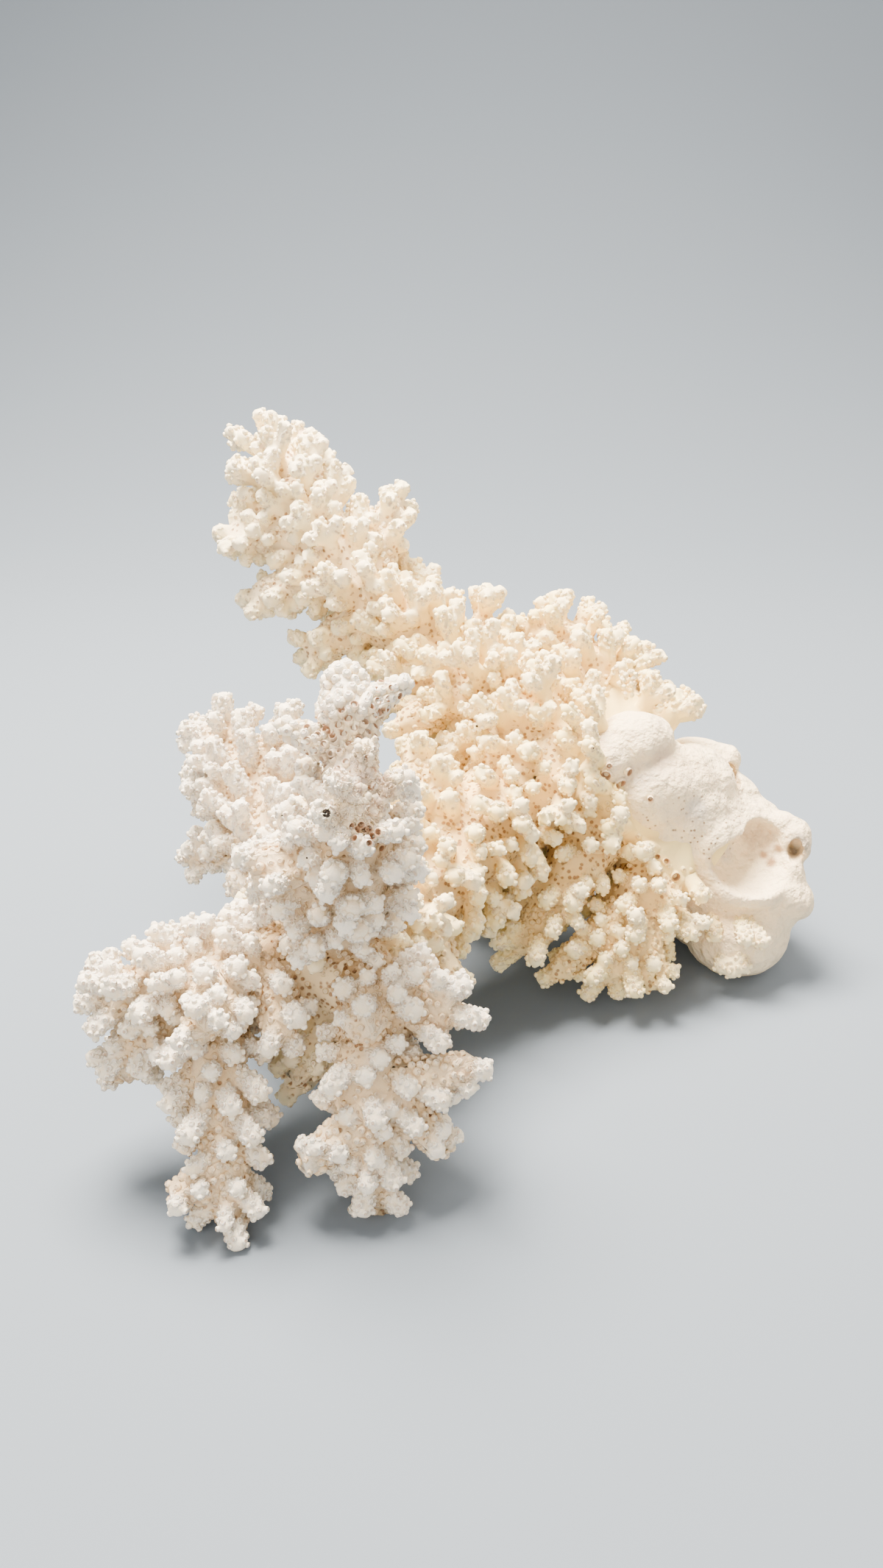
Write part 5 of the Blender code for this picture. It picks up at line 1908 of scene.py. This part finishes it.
    def spots_on(self, skins: dict[str, BVHTree], specks: Iterable[tuple[float, float, float]]
                 ) -> list[tuple[Vector, float]]:
        """Where dark specks lie on the coral, each with its radius in metres."""
        return [(self.eye.spot(skins, across, down)[1], size * MM) for across, down, size in specks]


def skin_of(piece: bpy.types.Object) -> BVHTree:
    """A piece's skin, ready for rays."""
    return BVHTree.FromObject(piece, bpy.context.evaluated_depsgraph_get())


LOBES = (
    Lobe("trunk", "cream_skeleton", Growth.LONG, 32000, is_fine=True, seed=101),
    Lobe("crown_lobe", "cream_skeleton", Growth.LONG, 10000, is_fine=True, seed=102),
    Lobe("back_wing", "cream_skeleton", Growth.LONG, 32000, seed=103),
    Lobe("front_stem", "cream_skeleton", Growth.LONG, 22000, seed=104),
    Lobe("upper_lobe", "white_skeleton", Growth.KNOBBY, 24000, is_fine=True, seed=105, skin_patch=12,
         white_above=124),
    Lobe("rear_left_lobe", "white_skeleton", Growth.KNOBBY, 16000, seed=106, skin_patch=15),
    Lobe("left_lobe", "white_skeleton", Growth.KNOBBY, 20000, is_fine=True, seed=107, skin_patch=13),
    Lobe("left_leg", "white_skeleton", Growth.KNOBBY, 11000, is_fine=True, seed=108, skin_patch=14),
    Lobe("right_lobe", "white_skeleton", Growth.KNOBBY, 10000, is_fine=True, seed=109, skin_patch=13),
    Lobe("right_leg", "white_skeleton", Growth.KNOBBY, 11000, is_fine=True, seed=110, skin_patch=14),
    Lobe("right_fan", "cream_skeleton", Growth.KNOBBY, 11000, is_fine=True, seed=111, skin_patch=40),
    Lobe("middle_fan", "cream_skeleton", Growth.KNOBBY, 7000, seed=112, skin_patch=40),
    Lobe("rear_leg", "cream_skeleton", Growth.LONG, 6000, seed=113),
    LipFingers("lip_fingers", "cream_skeleton", Growth.KNOBBY, 4000, is_fine=True, seed=114, solid="holdfast"),
)


def main() -> None:
    """Builds every piece in order, and reports each one."""
    logging.basicConfig(level=logging.INFO, format="%(relativeCreated)6d ms  %(message)s")
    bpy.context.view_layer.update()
    colony = Colony(LIMBS)
    for limb in LIMBS:
        colony.grow(limb)
    log.info("grew %d main fingers", len(colony.fingers))
    habits = {lobe.node: lobe.growth.value for lobe in LOBES}
    habits["holdfast"] = Growth.KNOBBY.value
    thicket = Thicket(colony)
    thicket.fork(habits, random.Random(61))
    log.info("%d fingers with the forks", len(colony.fingers))
    thicket.fill(habits, random.Random(62))
    log.info("%d fingers in all", len(colony.fingers))
    kit = Kit()
    colony.cores.update({limb.name: Core(limb) for limb in PRONG})
    colony.fingers = [finger for finger in colony.fingers
                      if finger.limb not in colony.cores or not finger.limb.startswith("prong")]
    colony.fingers = [finger for finger in colony.fingers if not is_worn(finger.at(1.0)[0])]
    colony.fingers.extend(lip_fingers())
    pieces = {"holdfast": Holdfast(), **{lobe.node: lobe for lobe in LOBES}}
    for node, piece in pieces.items():
        piece.build(colony, kit)
        log.info("modelled %s, %d faces", node, len(piece.skin.data.polygons))
    skins = {node: skin_of(piece.skin) for node, piece in pieces.items()}
    fine = FineWork()
    fine.cup_the_neck(pieces["upper_lobe"], colony, kit)
    fine.cup_the_ledge(pieces, skins, kit)
    fine.cup_the_shoulder(pieces, skins, kit)
    middle = fine.roughen_the_patch(pieces["upper_lobe"], skins, kit)
    pieces["holdfast"].join_extras()
    for lobe in LOBES:
        lobe.finish_shape(colony)
        log.info("finished %s, %d knobs, %d faces", lobe.node, len(lobe.knobs), len(lobe.skin.data.polygons))
    finishes = {
        "cream_skeleton": CREAM.material(fine.spots_on(skins, fine.trunk_specks)),
        "white_skeleton": WHITE.material(
            fine.spots_on(skins, fine.front_specks_and_hole_shade), [
                # The grey on the prong's lower neck is partly a stain and partly painted shade.
                (place(-47, -66, 146), 0.024, (0.44, 0.37, 0.29)), (middle, 0.016, (0.93, 0.79, 0.68)),
                *((spot, size, (0.50, 0.29, 0.17)) for spot, size in fine.spots_on(skins, fine.patch_spots)),
            ]),
        "worn_skeleton": WornFinish().material(place(108, 44, 52), place(76, 46, 58), fine.worn_stains_and_shade(skins)),
    }
    for piece in pieces.values():
        piece.dress(finishes[piece.slot])
    Studio().build()
    fine.eye.add()
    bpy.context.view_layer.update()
    meshes = [piece.skin.data for piece in pieces.values()]
    log.info("%d triangles in all", sum(len(mesh.loops) - 2 * len(mesh.polygons) for mesh in meshes))


if __name__ == "__main__":
    main()
